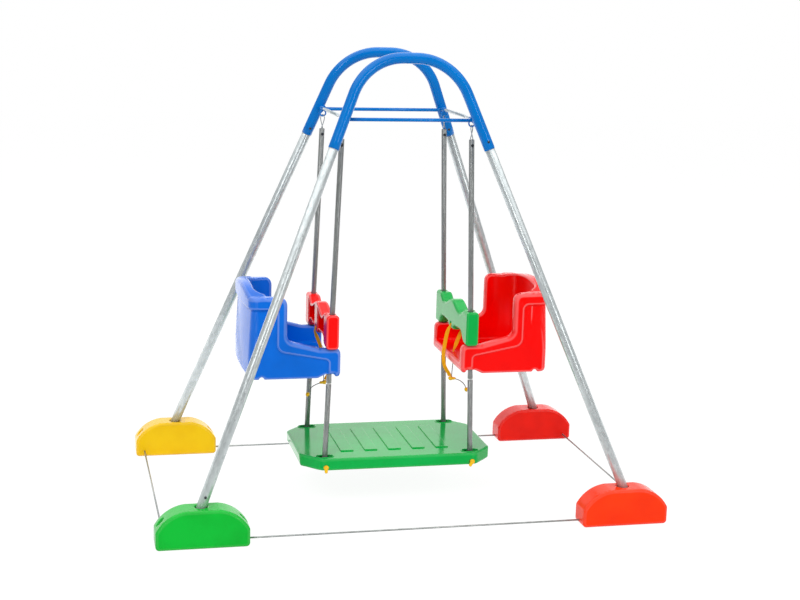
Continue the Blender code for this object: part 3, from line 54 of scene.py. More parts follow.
# Camera. The photograph's viewpoint: head height, well back, a little to the left of the swing and
# tipped down, with a hint of roll.
CAMERA_PLACE = Vector((-1.1494, -4.9539, 1.7109))
CAMERA_YAW = 0.23442
CAMERA_PITCH = -0.20301
CAMERA_ROLL = 0.029175
CAMERA_LENS_MM = 68.13

ahead = Vector((math.sin(CAMERA_YAW) * math.cos(CAMERA_PITCH),
                math.cos(CAMERA_YAW) * math.cos(CAMERA_PITCH), math.sin(CAMERA_PITCH)))
level = Vector((math.cos(CAMERA_YAW), -math.sin(CAMERA_YAW), 0.0))
upright = level.cross(ahead)
camera_right = level * math.cos(CAMERA_ROLL) + upright * math.sin(CAMERA_ROLL)
camera_up = upright * math.cos(CAMERA_ROLL) - level * math.sin(CAMERA_ROLL)
camera = bpy.data.objects.new("camera", bpy.data.cameras.new("camera"))
camera.data.lens = CAMERA_LENS_MM
camera.data.sensor_width = 36.0
turn = Matrix((camera_right, camera_up, -ahead)).transposed()
camera.matrix_world = Matrix.Translation(CAMERA_PLACE) @ turn.to_4x4()
bpy.context.scene.collection.objects.link(camera)
bpy.context.scene.camera = camera


# Lanyards. A thin grey sleeved cord hangs from the end of each crotch strap under the seat, runs through
# the toggle and stands out stiffly to the locking bead on its end.
HANDS = (("left", -1), ("right", 1))
CORD_RADIUS = 0.0015
CORD_START = Vector((0.230, 0.0, 0.4467))
STRAND_PITCH = 0.00274


def linear(code):
    """An sRGB hex value as linear colour with full alpha."""
    parts = [int(code[place:place + 2], 16) / 255 for place in (1, 3, 5)]
    return (*[part / 12.92 if part <= 0.04045 else ((part + 0.055) / 1.055) ** 2.4 for part in parts], 1.0)


def add_node(tree, kind, links=(), **settings):
    """Add a node: settings are its own properties, its inputs or a ramp's stops; links feed its inputs."""
    node = tree.nodes.new("ShaderNode" + kind)
    for key, value in settings.items():
        if key == "stops":
            while len(node.color_ramp.elements) < len(value):
                node.color_ramp.elements.new(1.0)
            for element, (place, colour) in zip(node.color_ramp.elements, value):
                element.position = place
                element.color = linear(colour) if isinstance(colour, str) else (*[colour] * 3, 1.0)
        elif hasattr(node, key):
            setattr(node, key, value)
        else:
            node.inputs[key.replace("_", " ")].default_value = value
    for name, source in links:
        tree.links.new(source, node.inputs[name])
    return node


def new_material(name):
    """An empty node material, its tree, and the object coordinates that its patterns follow."""
    made = bpy.data.materials.new(name)
    made.use_nodes = True
    made.node_tree.nodes.clear()
    return made, made.node_tree, add_node(made.node_tree, "TexCoord").outputs["Object"]


def smooth_route(points, spacing):
    """Even points along a Catmull-Rom curve through a route's own points."""
    padded = [2 * points[0] - points[1], *points, 2 * points[-1] - points[-2]]
    fine = []
    for before, start, end, after in zip(padded, padded[1:], padded[2:], padded[3:]):
        for step in range(16):
            t = step / 16
            fine.append(0.5 * (2 * start + (end - before) * t
                               + (2 * before - 5 * start + 4 * end - after) * t * t
                               + (3 * start - before - 3 * end + after) * t * t * t))
    fine.append(points[-1].copy())
    lengths = [0.0]
    for start, end in zip(fine, fine[1:]):
        lengths.append(lengths[-1] + (end - start).length)
    count = max(2, round(lengths[-1] / spacing))
    route = []
    index = 0
    for step in range(count + 1):
        target = lengths[-1] * step / count
        while index < len(lengths) - 2 and lengths[index + 1] < target:
            index += 1
        span = lengths[index + 1] - lengths[index]
        share = (target - lengths[index]) / span if span else 0.0
        route.append(fine[index].lerp(fine[index + 1], share))
    return route


def facing(point, hand):
    """A point given on the right-hand seat, turned half round for the left-hand one."""
    return Vector((hand * point.x, hand * point.y, point.z))


def lay_on(mesh, name, finish):
    """Put a mesh in the scene as a smooth piece in one finish."""
    piece = bpy.data.objects.new(name, mesh)
    bpy.context.scene.collection.objects.link(piece)
    mesh.materials.clear()
    mesh.materials.append(finish)
    mesh.shade_smooth()
    return piece


def dress(piece, body, slot, *nodes):
    """Make a piece ride on its body and let it stand for its plain solids; the slot is not used."""
    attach(piece, body)
    if nodes:
        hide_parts(*nodes)


def sleeved_cord():
    """Polyester cord in a close braid: matt grey, its slanting strands drawn 2.7 mm apart to show."""
    made, tree, place = new_material("braided_polyester_cord")
    strands = add_node(tree, "TexWave", [("Vector", place)], bands_direction="DIAGONAL",
                       Scale=math.tau / 10 / math.sqrt(3) / STRAND_PITCH, Distortion=1.0)
    tint = add_node(tree, "ValToRGB", [("Fac", strands.outputs["Fac"])],
                    stops=[(0.0, "#5A5652"), (1.0, "#8E8A84")])
    relief = add_node(tree, "Bump", [("Height", strands.outputs["Fac"])], Strength=0.5, Distance=0.0003)
    shader = add_node(tree, "BsdfPrincipled", [("Base Color", tint.outputs["Color"]),
                                               ("Normal", relief.outputs["Normal"])],
                      Roughness=0.7, IOR=1.55)
    add_node(tree, "OutputMaterial", [("Surface", shader.outputs["BSDF"])])
    return made


def moulded_polyethylene(name, colour, shade, roughness=0.22, edge_highlight=0.03):
    """Blow-moulded polyethylene: waxy gloss, clouded pigment, an uneven skin and edges painted pale as
    highlights.
    """
    made, tree, place = new_material(name)
    clouds = add_node(tree, "TexNoise", [("Vector", place)], Scale=1 / 0.09, Detail=3.0)
    tint = add_node(tree, "ValToRGB", [("Fac", clouds.outputs["Fac"])],
                    stops=[(0.30, shade), (0.62, colour)])
    # Painted highlight: convex edges, found by their pointiness, are mixed part way towards white.
    edges = add_node(tree, "NewGeometry").outputs["Pointiness"]
    painted_edge_highlight = add_node(tree, "ValToRGB", [("Fac", edges)],
                    stops=[(0.506, 0.0), (0.520, edge_highlight), (0.530, edge_highlight), (0.545, 0.3 * edge_highlight)])
    surface = add_node(tree, "Mix", [(0, painted_edge_highlight.outputs["Color"]), (6, tint.outputs["Color"])],
                       data_type="RGBA")
    surface.inputs[7].default_value = linear("#FFFFFF")
    waviness = add_node(tree, "TexNoise", [("Vector", place)], Scale=1 / 0.028, Detail=1.0)
    grain = add_node(tree, "TexNoise", [("Vector", place)], Scale=1 / 0.0022, Detail=2.0)
    gloss = add_node(tree, "MapRange", [("Value", waviness.outputs["Fac"])],
                     To_Min=roughness - 0.05, To_Max=roughness + 0.07)
    skin = add_node(tree, "Bump", [("Height", grain.outputs["Fac"])], Strength=0.02, Distance=0.0003)
    relief = add_node(tree, "Bump", [("Height", waviness.outputs["Fac"]),
                                     ("Normal", skin.outputs["Normal"])], Strength=0.04, Distance=0.0012)
    shader = add_node(tree, "BsdfPrincipled", [("Base Color", surface.outputs[2]),
                                               ("Roughness", gloss.outputs["Result"]),
                                               ("Normal", relief.outputs["Normal"])], IOR=1.24)
    add_node(tree, "OutputMaterial", [("Surface", shader.outputs["BSDF"])])
    return made


def lofted(name, rings, finish, closed=False, crease=50):
    """Skin over rings of as many corners each, closed on itself or capped; sharp past the crease angle."""
    width = len(rings[0])
    faces = []
    for ring in range(len(rings) if closed else len(rings) - 1):
        after_ring = (ring + 1) % len(rings)
        for step in range(width):
            after = (step + 1) % width
            faces.append((ring * width + step, ring * width + after,
                          after_ring * width + after, after_ring * width + step))
    if not closed:
        faces.append(tuple(range(width))[::-1])
        faces.append(tuple(range((len(rings) - 1) * width, len(rings) * width)))
    mesh = bpy.data.meshes.new(name)
    mesh.from_pydata([tuple(corner) for ring in rings for corner in ring], [], faces)
    piece = lay_on(mesh, name, finish)
    mesh.set_sharp_from_angle(angle=math.radians(crease))
    return piece


def circle(radius, sides):
    """Corners around a circle, anticlockwise."""
    return [(radius * math.cos(math.tau * step / sides), radius * math.sin(math.tau * step / sides))
            for step in range(sides)]


def turned(name, profile, start, heading, finish, sides=24):
    """Turn a profile of (radius, height) about the line from start along heading."""
    rings = [[(a, b, height) for a, b in circle(max(radius, 1e-5), sides)] for radius, height in profile]
    piece = lofted(name, rings, finish)
    turn = Vector(heading).to_track_quat("Z", "Y").to_matrix().to_4x4()
    piece.matrix_world = Matrix.Translation(start) @ turn
    return piece


cord_finish = sleeved_cord()
bead_finish = moulded_polyethylene("yellow_polyethylene_bead", "#FFC80C", "#F4B804")
bead_profile = [(0.0008, 0.0), (0.0028, 0.0001), (0.0048, 0.0014), (0.0062, 0.0038), (0.0068, 0.0068),
                (0.0066, 0.0098), (0.0054, 0.0126), (0.0034, 0.0146), (0.0014, 0.0154), (0.0004, 0.0155)]
cord_spots = [
    CORD_START, Vector((0.2296, 0.0, 0.430)), Vector((0.2280, 0.0, 0.404)), Vector((0.2275, 0.0, 0.3890)),
    Vector((0.2305, 0.0, 0.3805)), Vector((0.2395, 0.0, 0.3770)), Vector((0.2525, 0.0, 0.3725)),
    Vector((0.2655, -0.002, 0.3645)), Vector((0.2745, -0.003, 0.3545)), Vector((0.2790, -0.003, 0.3445)),
]
for hand_name, hand in HANDS:
    route = [facing(point, hand) for point in smooth_route(cord_spots, 0.0040)]
    line = bpy.data.curves.new("lanyard_cord_" + hand_name, "CURVE")
    line.dimensions = "3D"
    line.bevel_depth = CORD_RADIUS
    line.bevel_resolution = 4
    line.use_fill_caps = True
    spline = line.splines.new("POLY")
    spline.points.add(len(route) - 1)
    for place, point in zip(spline.points, route):
        place.co = (*point, 1.0)
    line.materials.append(cord_finish)
    cord = bpy.data.objects.new("lanyard_cord_" + hand_name, line)
    bpy.context.scene.collection.objects.link(cord)
    dress(cord, hand_name + "_swing", "grey_cord", "lanyard_" + hand_name)
    heading = (route[-1] - route[-2]).normalized()
    bead = turned("lanyard_bead_" + hand_name, bead_profile, route[-1] + heading * 0.0003, heading,
                  bead_finish)
    dress(bead, hand_name + "_swing", "yellow_plastic", "lanyard_plug_" + hand_name)


# Stage. A plain white floor, which keeps a faint shadow. What metal and gloss mirror is a studio: a bright
# backdrop behind the swing, a bright ceiling, grey sides, and a dim front with two upright softboxes.
FLOOR_SIZE = 30.0
FLOOR_WHITE = 0.85
FLOOR_GLOW = 1.10
STUDIO_LIGHT = 0.44
FRONT_MIRROR = 0.14
SIDE_MIRROR = 0.42
BACKDROP_MIRROR = 1.8
CEILING_MIRROR = 2.4
SOFTBOX_MIRROR = 5.5
# Each softbox has its middle, half size and soft edge along each axis of the direction that is mirrored.
SOFTBOXES = ({"X": (-0.53, 0.09, 0.05), "Y": (-0.8, 0.35, 0.10), "Z": (0.33, 0.17, 0.06)},
             {"X": (0.42, 0.09, 0.05), "Y": (-0.9, 0.35, 0.10), "Z": (0.19, 0.19, 0.06)})
WHITE = (1.0, 1.0, 1.0, 1.0)


def ray_kinds(tree):
    """Outputs that say if a ray is seen, straight or through something clear, or is a reflection."""
    paths = add_node(tree, "LightPath")
    seen = add_node(tree, "Math", [(0, paths.outputs["Is Camera Ray"]),
                                   (1, paths.outputs["Is Transmission Ray"])], operation="MAXIMUM")
    return seen.outputs[0], paths.outputs["Is Glossy Ray"]


def stage_floor():
    """Matt white paint: white to the camera; in reflections bright behind the swing and grey before it."""
    made, tree, place = new_material("white_studio_floor")
    seen, reflected = ray_kinds(tree)
    share = add_node(tree, "MapRange", [("Value", seen)], To_Max=FLOOR_WHITE)
    paint = add_node(tree, "BsdfDiffuse", Color=linear("#F8F8F8"))
    glow = add_node(tree, "Emission", Color=WHITE, Strength=FLOOR_GLOW)
    plain = add_node(tree, "MixShader", [(0, share.outputs["Result"]), (1, paint.outputs[0]),
                                         (2, glow.outputs[0])])
    depth = add_node(tree, "SeparateXYZ", [("Vector", place)])
    fade = add_node(tree, "MapRange", [("Value", depth.outputs["Y"])], From_Min=-1.6, From_Max=0.9,
                    To_Min=SIDE_MIRROR, To_Max=BACKDROP_MIRROR)
    mirrored = add_node(tree, "Emission", [("Strength", fade.outputs["Result"])], Color=WHITE)
    blend = add_node(tree, "MixShader", [(0, reflected), (1, plain.outputs[0]), (2, mirrored.outputs[0])])
    add_node(tree, "OutputMaterial", [("Surface", blend.outputs[0])])
    made.cycles.emission_sampling = "NONE"
    return made


floor_mesh = bpy.data.meshes.new("floor")
reach = FLOOR_SIZE / 2
floor_mesh.from_pydata([(-reach, -reach, 0), (reach, -reach, 0), (reach, reach, 0), (-reach, reach, 0)],
                       [], [(0, 1, 2, 3)])
floor = lay_on(floor_mesh, "floor", stage_floor())
floor.location.z = -0.0002

world = bpy.data.worlds.new("studio")
bpy.context.scene.world = world
world.use_nodes = True
world.cycles.sampling_method = "NONE"
sky = world.node_tree
sky.nodes.clear()
sky_seen, sky_reflected = ray_kinds(sky)
sky_level = add_node(sky, "MapRange", [("Value", sky_seen)], To_Min=STUDIO_LIGHT, To_Max=1.0)
sky_light = add_node(sky, "Background", [("Strength", sky_level.outputs["Result"])], Color=WHITE)
sky_way = add_node(sky, "SeparateXYZ", [("Vector", add_node(sky, "TexCoord").outputs["Generated"])])
sky_levels = []
for axis, from_low, from_high, low, high in (("Y", -0.85, -0.15, FRONT_MIRROR, SIDE_MIRROR),
                                             ("Z", 0.50, 0.75, 0.0, CEILING_MIRROR),
                                             ("Y", 0.76, 0.92, 0.0, BACKDROP_MIRROR)):
    sky_part = add_node(sky, "MapRange", [("Value", sky_way.outputs[axis])],
                        From_Min=from_low, From_Max=from_high, To_Min=low, To_Max=high)
    sky_levels.append(sky_part.outputs["Result"])
for softbox in SOFTBOXES:
    share = None
    for axis, (middle, half, edge) in softbox.items():
        offset = add_node(sky, "Math", [(0, sky_way.outputs[axis])], operation="SUBTRACT")
        offset.inputs[1].default_value = middle
        size = add_node(sky, "Math", [(0, offset.outputs[0])], operation="ABSOLUTE")
        band = add_node(sky, "MapRange", [("Value", size.outputs[0])], From_Min=half + edge, From_Max=half)
        if share:
            band = add_node(sky, "Math", [(0, share), (1, band.outputs[0])], operation="MULTIPLY")
        share = band.outputs[0]
    sky_part = add_node(sky, "MapRange", [("Value", share)], To_Max=SOFTBOX_MIRROR)
    sky_levels.append(sky_part.outputs["Result"])
sky_highest = sky_levels[0]
for sky_other in sky_levels[1:]:
    sky_highest = add_node(sky, "Math", [(0, sky_highest), (1, sky_other)], operation="MAXIMUM").outputs[0]
sky_mirror = add_node(sky, "Background", [("Strength", sky_highest)], Color=WHITE)
sky_both = add_node(sky, "MixShader", [(0, sky_reflected), (1, sky_light.outputs[0]),
                                       (2, sky_mirror.outputs[0])])
add_node(sky, "OutputWorld", [("Surface", sky_both.outputs[0])])


def lamp(name, place, target, size, watts):
    """A soft square lamp that looks at a point; gloss mirrors the softboxes instead of it."""
    light = bpy.data.lights.new(name, "AREA")
    light.size = size
    light.energy = watts
    fixture = bpy.data.objects.new(name, light)
    aim = Vector(target) - Vector(place)
    fixture.matrix_world = Matrix.Translation(place) @ aim.to_track_quat("-Z", "Y").to_matrix().to_4x4()
    fixture.visible_glossy = False
    bpy.context.scene.collection.objects.link(fixture)


lamp_target = (0.0, 0.0, 0.6)
lamp("key_lamp", (-2.6, -3.6, 4.2), lamp_target, 2.2, 130)
lamp("fill_lamp", (3.6, -2.8, 2.8), lamp_target, 2.5, 66)
lamp("top_lamp", (0.3, 0.6, 4.8), lamp_target, 3.0, 80)


# Ballast feet. Each is one blow-moulded polyethylene shell in its own colour, filled with sand or water,
# with rounded edges, a bore for the leg and oval filler recesses on its shoulders.
SIDES = (("front", -1), ("back", 1))
CORNERS = [(side_name + "_" + hand_name, hand_name, hand, side)
           for side_name, side in SIDES for hand_name, hand in HANDS]
FOOT_X = 0.692
FOOT_Y = 0.484
FOOT_HALF_LENGTH = 0.146
FOOT_HALF_WIDTH = 0.043
FOOT_HEIGHT = 0.1225
FOOT_END_Z = 0.057
FOOT_CROWN_HALF = 0.052
FOOT_SWEEP = math.radians(56)
FOOT_EDGE = 0.0075
RECESS_HALF_LENGTH = 0.017
RECESS_HALF_WIDTH = 0.011
RECESS_DEPTH = 0.010
RECESS_TILT = math.radians(8)
BORE_FLOOR_Z = 0.029
BORE_PLAY = 0.0022
LEG_X = 0.693
LEG_Y = 0.4785
LEG_RADIUS = 0.016
ARCH_TOP_Y = 0.194
ARCH_TOP_Z = 1.493
ARCH_END_Z = 1.208
ARCH_BEND = 0.180
ARCH_CROWN_HALF = 0.021
LEAN = (LEG_Y - ARCH_TOP_Y) / (ARCH_TOP_Z - FOOT_HEIGHT)
bend_across = LEG_X - ARCH_CROWN_HALF
bend_height = ARCH_TOP_Z - ARCH_BEND - FOOT_HEIGHT
bend_reach = math.sqrt(bend_across ** 2 + bend_height ** 2 - ARCH_BEND ** 2)
SPREAD = (bend_across * bend_height - ARCH_BEND * bend_reach) / (bend_height ** 2 - ARCH_BEND ** 2)


def frame_point(x, z, side):
    """A point on the leaning plane of the front (-1) or back (1) arch."""
    return Vector((x, side * (ARCH_TOP_Y + LEAN * (ARCH_TOP_Z - z)), z))


def leg_point(z, hand, side):
    """A point at height z on the axis of one leg."""
    return frame_point(hand * (LEG_X - SPREAD * (z - FOOT_HEIGHT)), z, side)


def leg_direction(hand, side):
    """Unit vector up the leg."""
    return (leg_point(1.0, hand, side) - leg_point(0.0, hand, side)).normalized()


def rounded_outline(corners, steps=8):
    """Outline through (x, y, radius) corners, each rounded by an arc."""
    points = []
    count = len(corners)
    for index, (x, y, radius) in enumerate(corners):
        corner = Vector((x, y))
        if radius == 0.0:
            points.append((x, y))
            continue
        back = (Vector(corners[index - 1][:2]) - corner).normalized()
        onward = (Vector(corners[(index + 1) % count][:2]) - corner).normalized()
        half = back.angle(onward) / 2
        centre = corner + (back + onward).normalized() * (radius / math.sin(half))
        first = corner + back * (radius / math.tan(half)) - centre
        last = corner + onward * (radius / math.tan(half)) - centre
        sweep = math.atan2(first.cross(last), first.dot(last))
        for step in range(steps + 1):
            points.append(tuple(centre + Matrix.Rotation(sweep * step / steps, 2) @ first))
    return points


def outline_distance(points, a, b):
    """Distance from (a, b) to a closed outline, negative inside it."""
    a, b = np.broadcast_arrays(a, b)
    nearest = np.full(a.shape, np.inf)
    inside = np.zeros(a.shape, bool)
    for (a0, b0), (a1, b1) in zip(points, points[1:] + points[:1]):
        da = a1 - a0
        db = b1 - b0
        share = np.clip(((a - a0) * da + (b - b0) * db) / (da * da + db * db), 0.0, 1.0)
        nearest = np.minimum(nearest, (a - a0 - share * da) ** 2 + (b - b0 - share * db) ** 2)
        if db != 0.0:
            inside ^= ((b0 <= b) != (b1 <= b)) & (a < a0 + (b - b0) * da / db)
    return np.where(inside, -1.0, 1.0) * np.sqrt(nearest)


def rod_distance(start, heading, radius, x, y, z):
    """Distance to an endless rod through start along a unit heading."""
    px, py, pz = x - start[0], y - start[1], z - start[2]
    along = px * heading[0] + py * heading[1] + pz * heading[2]
    return np.sqrt(np.maximum(px * px + py * py + pz * pz - along * along, 0.0)) - radius


def meet(edge, first, *others):
    """Common part of several shapes, its outer edges rounded."""
    shape = first
    for other in others:
        a = shape + edge
        b = other + edge
        shape = (np.minimum(np.maximum(a, b), 0.0)
                 + np.hypot(np.maximum(a, 0.0), np.maximum(b, 0.0)) - edge)
    return shape


def carve(edge, shape, *hollows):
    """A shape less its hollows, with rounded mouths."""
    return meet(edge, shape, *[-hollow for hollow in hollows])


def moulded(name, field, low, high, cell):
    """Mesh of the surface where field is zero: a corner in each grid cell it crosses, drawn on to it."""
    axes = [np.arange(a - 2 * cell, b + 3 * cell, cell) for a, b in zip(low, high)]
    values = np.broadcast_to(field(*np.ix_(*axes)), [len(axis) for axis in axes])
    inside = values < 0
    size = [count - 1 for count in inside.shape]
    filled = np.zeros(size, np.uint8)
    for i, j, k in np.ndindex(2, 2, 2):
        filled += inside[i:i + size[0], j:j + size[1], k:k + size[2]]
    # Each cell that the surface crosses gets a corner, at the middle of the crossings on its edges.
    crossed = (filled > 0) & (filled < 8)
    cells = np.argwhere(crossed)
    number = np.full(size, -1)
    number[crossed] = np.arange(len(cells))
    total = np.zeros((len(cells), 3))
    hits = np.zeros((len(cells), 1))
    quads = []
    for axis in range(3):
        step = np.eye(3, dtype=int)[axis]
        for corner in np.ndindex(2, 2, 2):
            if corner[axis]:
                continue
            near = cells + corner
            start = values[tuple(near.T)]
            end = values[tuple((near + step).T)]
            crosses = (start < 0) != (end < 0)
            share = start[crosses] / (start[crosses] - end[crosses])
            total[crosses] += corner + share[:, None] * step
            hits[crosses] += 1
        # Each crossed edge of the grid gets a quad between the four cells round it, facing outwards.
        before = np.take(inside, range(size[axis]), axis)
        after = np.take(inside, range(1, size[axis] + 1), axis)
        edges = np.argwhere(before != after)
        ring = []
        second = np.eye(3, dtype=int)[(axis + 1) % 3]
        third = np.eye(3, dtype=int)[(axis + 2) % 3]
        for shift in (0 * second, -second, -second - third, -third):
            ring.append(number[tuple((edges + shift).T)])
        ring = np.stack(ring, 1)
        inward = ~inside[tuple(edges.T)]
        ring[inward] = ring[inward][:, ::-1]
        quads.append(ring)
    corners = (cells + total / hits) * cell + [axis[0] for axis in axes]
    # Two steps down the field's slope draw the corners on to the surface itself.
    for _ in range(2):
        here = field(*corners.T)
        nudge = cell * 0.05
        slope = np.stack([(field(*(corners + nudge * way).T) - here) / nudge for way in np.eye(3)], 1)
        move = here[:, None] * slope / np.maximum((slope ** 2).sum(1, keepdims=True), 0.3)
        length = np.linalg.norm(move, axis=1, keepdims=True)
        corners -= move * np.minimum(1.0, 0.5 * cell / np.maximum(length, 1e-9))
    mesh = bpy.data.meshes.new(name)
    mesh.from_pydata(corners.tolist(), [], np.concatenate(quads).tolist())
    return mesh


def foot_outline():
    """Side view of a foot: flat base, upright ends, arched shoulders and a level crown."""
    chord = Vector((FOOT_HALF_LENGTH - FOOT_CROWN_HALF, FOOT_END_Z - FOOT_HEIGHT))
    radius = chord.length / (2 * math.sin(FOOT_SWEEP / 2))
    heading = math.atan2(chord.y, chord.x) + FOOT_SWEEP / 2
    point = Vector((FOOT_CROWN_HALF, FOOT_HEIGHT))
    shoulder = [point.copy()]
    steps = 20
    bend = FOOT_SWEEP / steps
    for step in range(steps):
        slope = heading - bend * (step + 0.5)
        point = point + Vector((math.cos(slope), math.sin(slope))) * 2 * radius * math.sin(bend / 2)
        shoulder.append(point.copy())
    right = [(point.x, point.y, 0.0) for point in reversed(shoulder)]
    left = [(-point.x, point.y, 0.0) for point in shoulder]
    return rounded_outline([(-FOOT_HALF_LENGTH, 0.0, 0.012), (FOOT_HALF_LENGTH, 0.0, 0.012),
                            *right, *left])


foot_shape = foot_outline()


def foot_field(hand, side, recess_hands):
    """Shape of one foot in its place, with a filler recess towards each of the given hands."""
    up = leg_direction(hand, side)
    base = leg_point(BORE_FLOOR_Z, hand, side)
    recess_x = (FOOT_CROWN_HALF + 3 * FOOT_HALF_LENGTH) / 4
    recess_z = (FOOT_HEIGHT + 3 * FOOT_END_Z) / 4
    slope = math.atan2(FOOT_HEIGHT - FOOT_END_Z, FOOT_HALF_LENGTH - FOOT_CROWN_HALF) + RECESS_TILT

    def field(x, y, z):
        across = y - side * FOOT_Y
        body = meet(FOOT_EDGE, outline_distance(foot_shape, x - hand * FOOT_X, z),
                    np.abs(across) - FOOT_HALF_WIDTH)
        depth = (x - base.x) * up.x + (y - base.y) * up.y + (z - base.z) * up.z
        bore = meet(0.001, rod_distance(base, up, LEG_RADIUS + BORE_PLAY, x, y, z), -depth)
        body = carve(0.0035, body, bore)
        for recess_hand in recess_hands:
            dx = (x - hand * FOOT_X) * recess_hand - recess_x
            dz = z - recess_z
            run = dx * math.cos(slope) - dz * math.sin(slope)
            rise = dx * math.sin(slope) + dz * math.cos(slope)
            share = np.hypot(run / RECESS_HALF_LENGTH, across / RECESS_HALF_WIDTH)
            oval = (share - 1.0) * RECESS_HALF_WIDTH
            body = carve(0.002, body, meet(0.002, oval, -RECESS_DEPTH - rise))
        return body

    return field


foot_colours = {
    "front_left": ("green", "#00BE36", "#00B230", (-1, 1)),
    "back_left": ("yellow", "#FFD008", "#F8C400", (-1, 1)),
    "front_right": ("orange", "#FF3A02", "#F53200", (1,)),
    "back_right": ("red", "#FF1A04", "#F01402", (1,)),
}
for corner, _, hand, side in CORNERS:
    colour, bright, shade, recess_hands = foot_colours[corner]
    low = (hand * FOOT_X - FOOT_HALF_LENGTH, side * FOOT_Y - FOOT_HALF_WIDTH, 0.0)
    high = (hand * FOOT_X + FOOT_HALF_LENGTH, side * FOOT_Y + FOOT_HALF_WIDTH, FOOT_HEIGHT)
    shell = moulded("foot_shell_" + corner, foot_field(hand, side, recess_hands), low, high, 0.0035)
    foot = lay_on(shell, "foot_shell_" + corner,
                  moulded_polyethylene(colour + "_polyethylene_foot", bright, shade))
    dress(foot, "frame", colour + "_plastic", "foot_" + corner)


# Legs. Hot-dip galvanised steel tube, 32 mm, cut square, pushed up into the arches and down into the feet;
# the zinc shows as pale spangles a few millimetres across, drawn out along the tube.
LEG_INSERT = 0.030
LEG_LOW_Z = 0.034
TUBE_WALL = 0.0015


def galvanised_steel(name, dark, pale, streak_length=0.16, roughness=0.30):
    """Hot-dip zinc: grey spangles of 7 mm, streaks along the tube and a soft metallic gloss."""
    made, tree, place = new_material(name)
    drawn = add_node(tree, "Mapping", [("Vector", place)], Scale=(1.0, 1.0, 0.45))
    spangle = add_node(tree, "TexVoronoi", [("Vector", drawn.outputs[0])], Scale=1 / 0.007)
    flake = add_node(tree, "SeparateColor", [("Color", spangle.outputs["Color"])])
    stretch = add_node(tree, "Mapping", [("Vector", place)],
                       Scale=(1 / 0.006, 1 / 0.006, 1 / streak_length))
    streak = add_node(tree, "TexNoise", [("Vector", stretch.outputs[0])], Scale=1.0, Detail=5.0)
    stain = add_node(tree, "TexNoise", [("Vector", place)], Scale=1 / 0.05, Detail=4.0)
    streaked = add_node(tree, "Math", [(0, flake.outputs["Red"]), (1, streak.outputs["Fac"])],
                        operation="ADD")
    total = add_node(tree, "Math", [(0, streaked.outputs[0]), (1, stain.outputs["Fac"])], operation="ADD")
    level = add_node(tree, "MapRange", [("Value", total.outputs[0])], From_Min=0.60, From_Max=2.30)
    tint = add_node(tree, "ValToRGB", [("Fac", level.outputs["Result"])], stops=[(0.0, dark), (1.0, pale)])
    gloss = add_node(tree, "MapRange", [("Value", flake.outputs["Green"])],
                     To_Min=roughness - 0.03, To_Max=roughness + 0.03)
    relief = add_node(tree, "Bump", [("Height", streak.outputs["Fac"])], Strength=0.03, Distance=0.0004)
    shader = add_node(tree, "BsdfPrincipled", [("Base Color", tint.outputs["Color"]),
                                               ("Roughness", gloss.outputs["Result"]),
                                               ("Normal", relief.outputs["Normal"])], Metallic=0.45)
    add_node(tree, "OutputMaterial", [("Surface", shader.outputs["BSDF"])])
    return made


def pipe(name, start, end, radius, bore, finish, hollow=0.03, sides=32):
    """A straight tube from start to end, hollow for a little way in from both its square-cut ends."""
    length = (Vector(end) - Vector(start)).length
    lip = 0.0004
    profile = [(bore, hollow), (bore, 0.0), (radius - lip, 0.0), (radius, lip),
               (radius, length - lip), (radius - lip, length), (bore, length), (bore, length - hollow)]
    return turned(name, profile, start, Vector(end) - Vector(start), finish, sides)


leg_finish = galvanised_steel("hot_dip_galvanised_tube", "#AEB5B6", "#D0D7D8")
for corner, _, hand, side in CORNERS:
    top = leg_point(ARCH_END_Z, hand, side) + leg_direction(hand, side) * LEG_INSERT
    leg = pipe("leg_tube_" + corner, leg_point(LEG_LOW_Z, hand, side), top, LEG_RADIUS,
               LEG_RADIUS - TUBE_WALL, leg_finish)
    dress(leg, "frame", "galvanised_steel", "leg_" + corner)


# Arches. Steel tube of 36 mm, bent cold over a 180 mm radius and powder-coated blue; the lower ends are
# left open for the legs.
ARCH_RADIUS = 0.018


def powder_coat_blue():
    """Gloss powder coat: deep blue with a fine orange-peel skin."""
    made, tree, place = new_material("blue_powder_coat")
    patches = add_node(tree, "TexNoise", [("Vector", place)], Scale=1 / 0.12, Detail=2.0)
    tint = add_node(tree, "ValToRGB", [("Fac", patches.outputs["Fac"])],
                    stops=[(0.3, "#006CBE"), (0.7, "#0076CA")])
    peel = add_node(tree, "TexNoise", [("Vector", place)], Scale=1 / 0.0028, Detail=1.0)
    relief = add_node(tree, "Bump", [("Height", peel.outputs["Fac"])], Strength=0.02, Distance=0.0003)
    shader = add_node(tree, "BsdfPrincipled", [("Base Color", tint.outputs["Color"]),
                                               ("Normal", relief.outputs["Normal"])],
                      Roughness=0.12, IOR=1.30)
    add_node(tree, "OutputMaterial", [("Surface", shader.outputs["BSDF"])])
    return made


def arch_path(side):
    """Centre line of one arch, from its left end over the crown to its right end."""
    slope = math.atan(SPREAD)
    centre_z = ARCH_TOP_Z - ARCH_BEND
    steps = 24
    half = [frame_point(0.0, ARCH_TOP_Z, side)]
    for step in range(steps + 1):
        bend = (math.pi / 2 - slope) * step / steps
        half.append(frame_point(ARCH_CROWN_HALF + ARCH_BEND * math.sin(bend),
                                centre_z + ARCH_BEND * math.cos(bend), side))
    tangent = half[-1]
    end = leg_point(ARCH_END_Z, 1, side)
    for step in range(1, 7):
        half.append(tangent.lerp(end, step / 6))
    return [Vector((-point.x, point.y, point.z)) for point in half[:0:-1]] + half


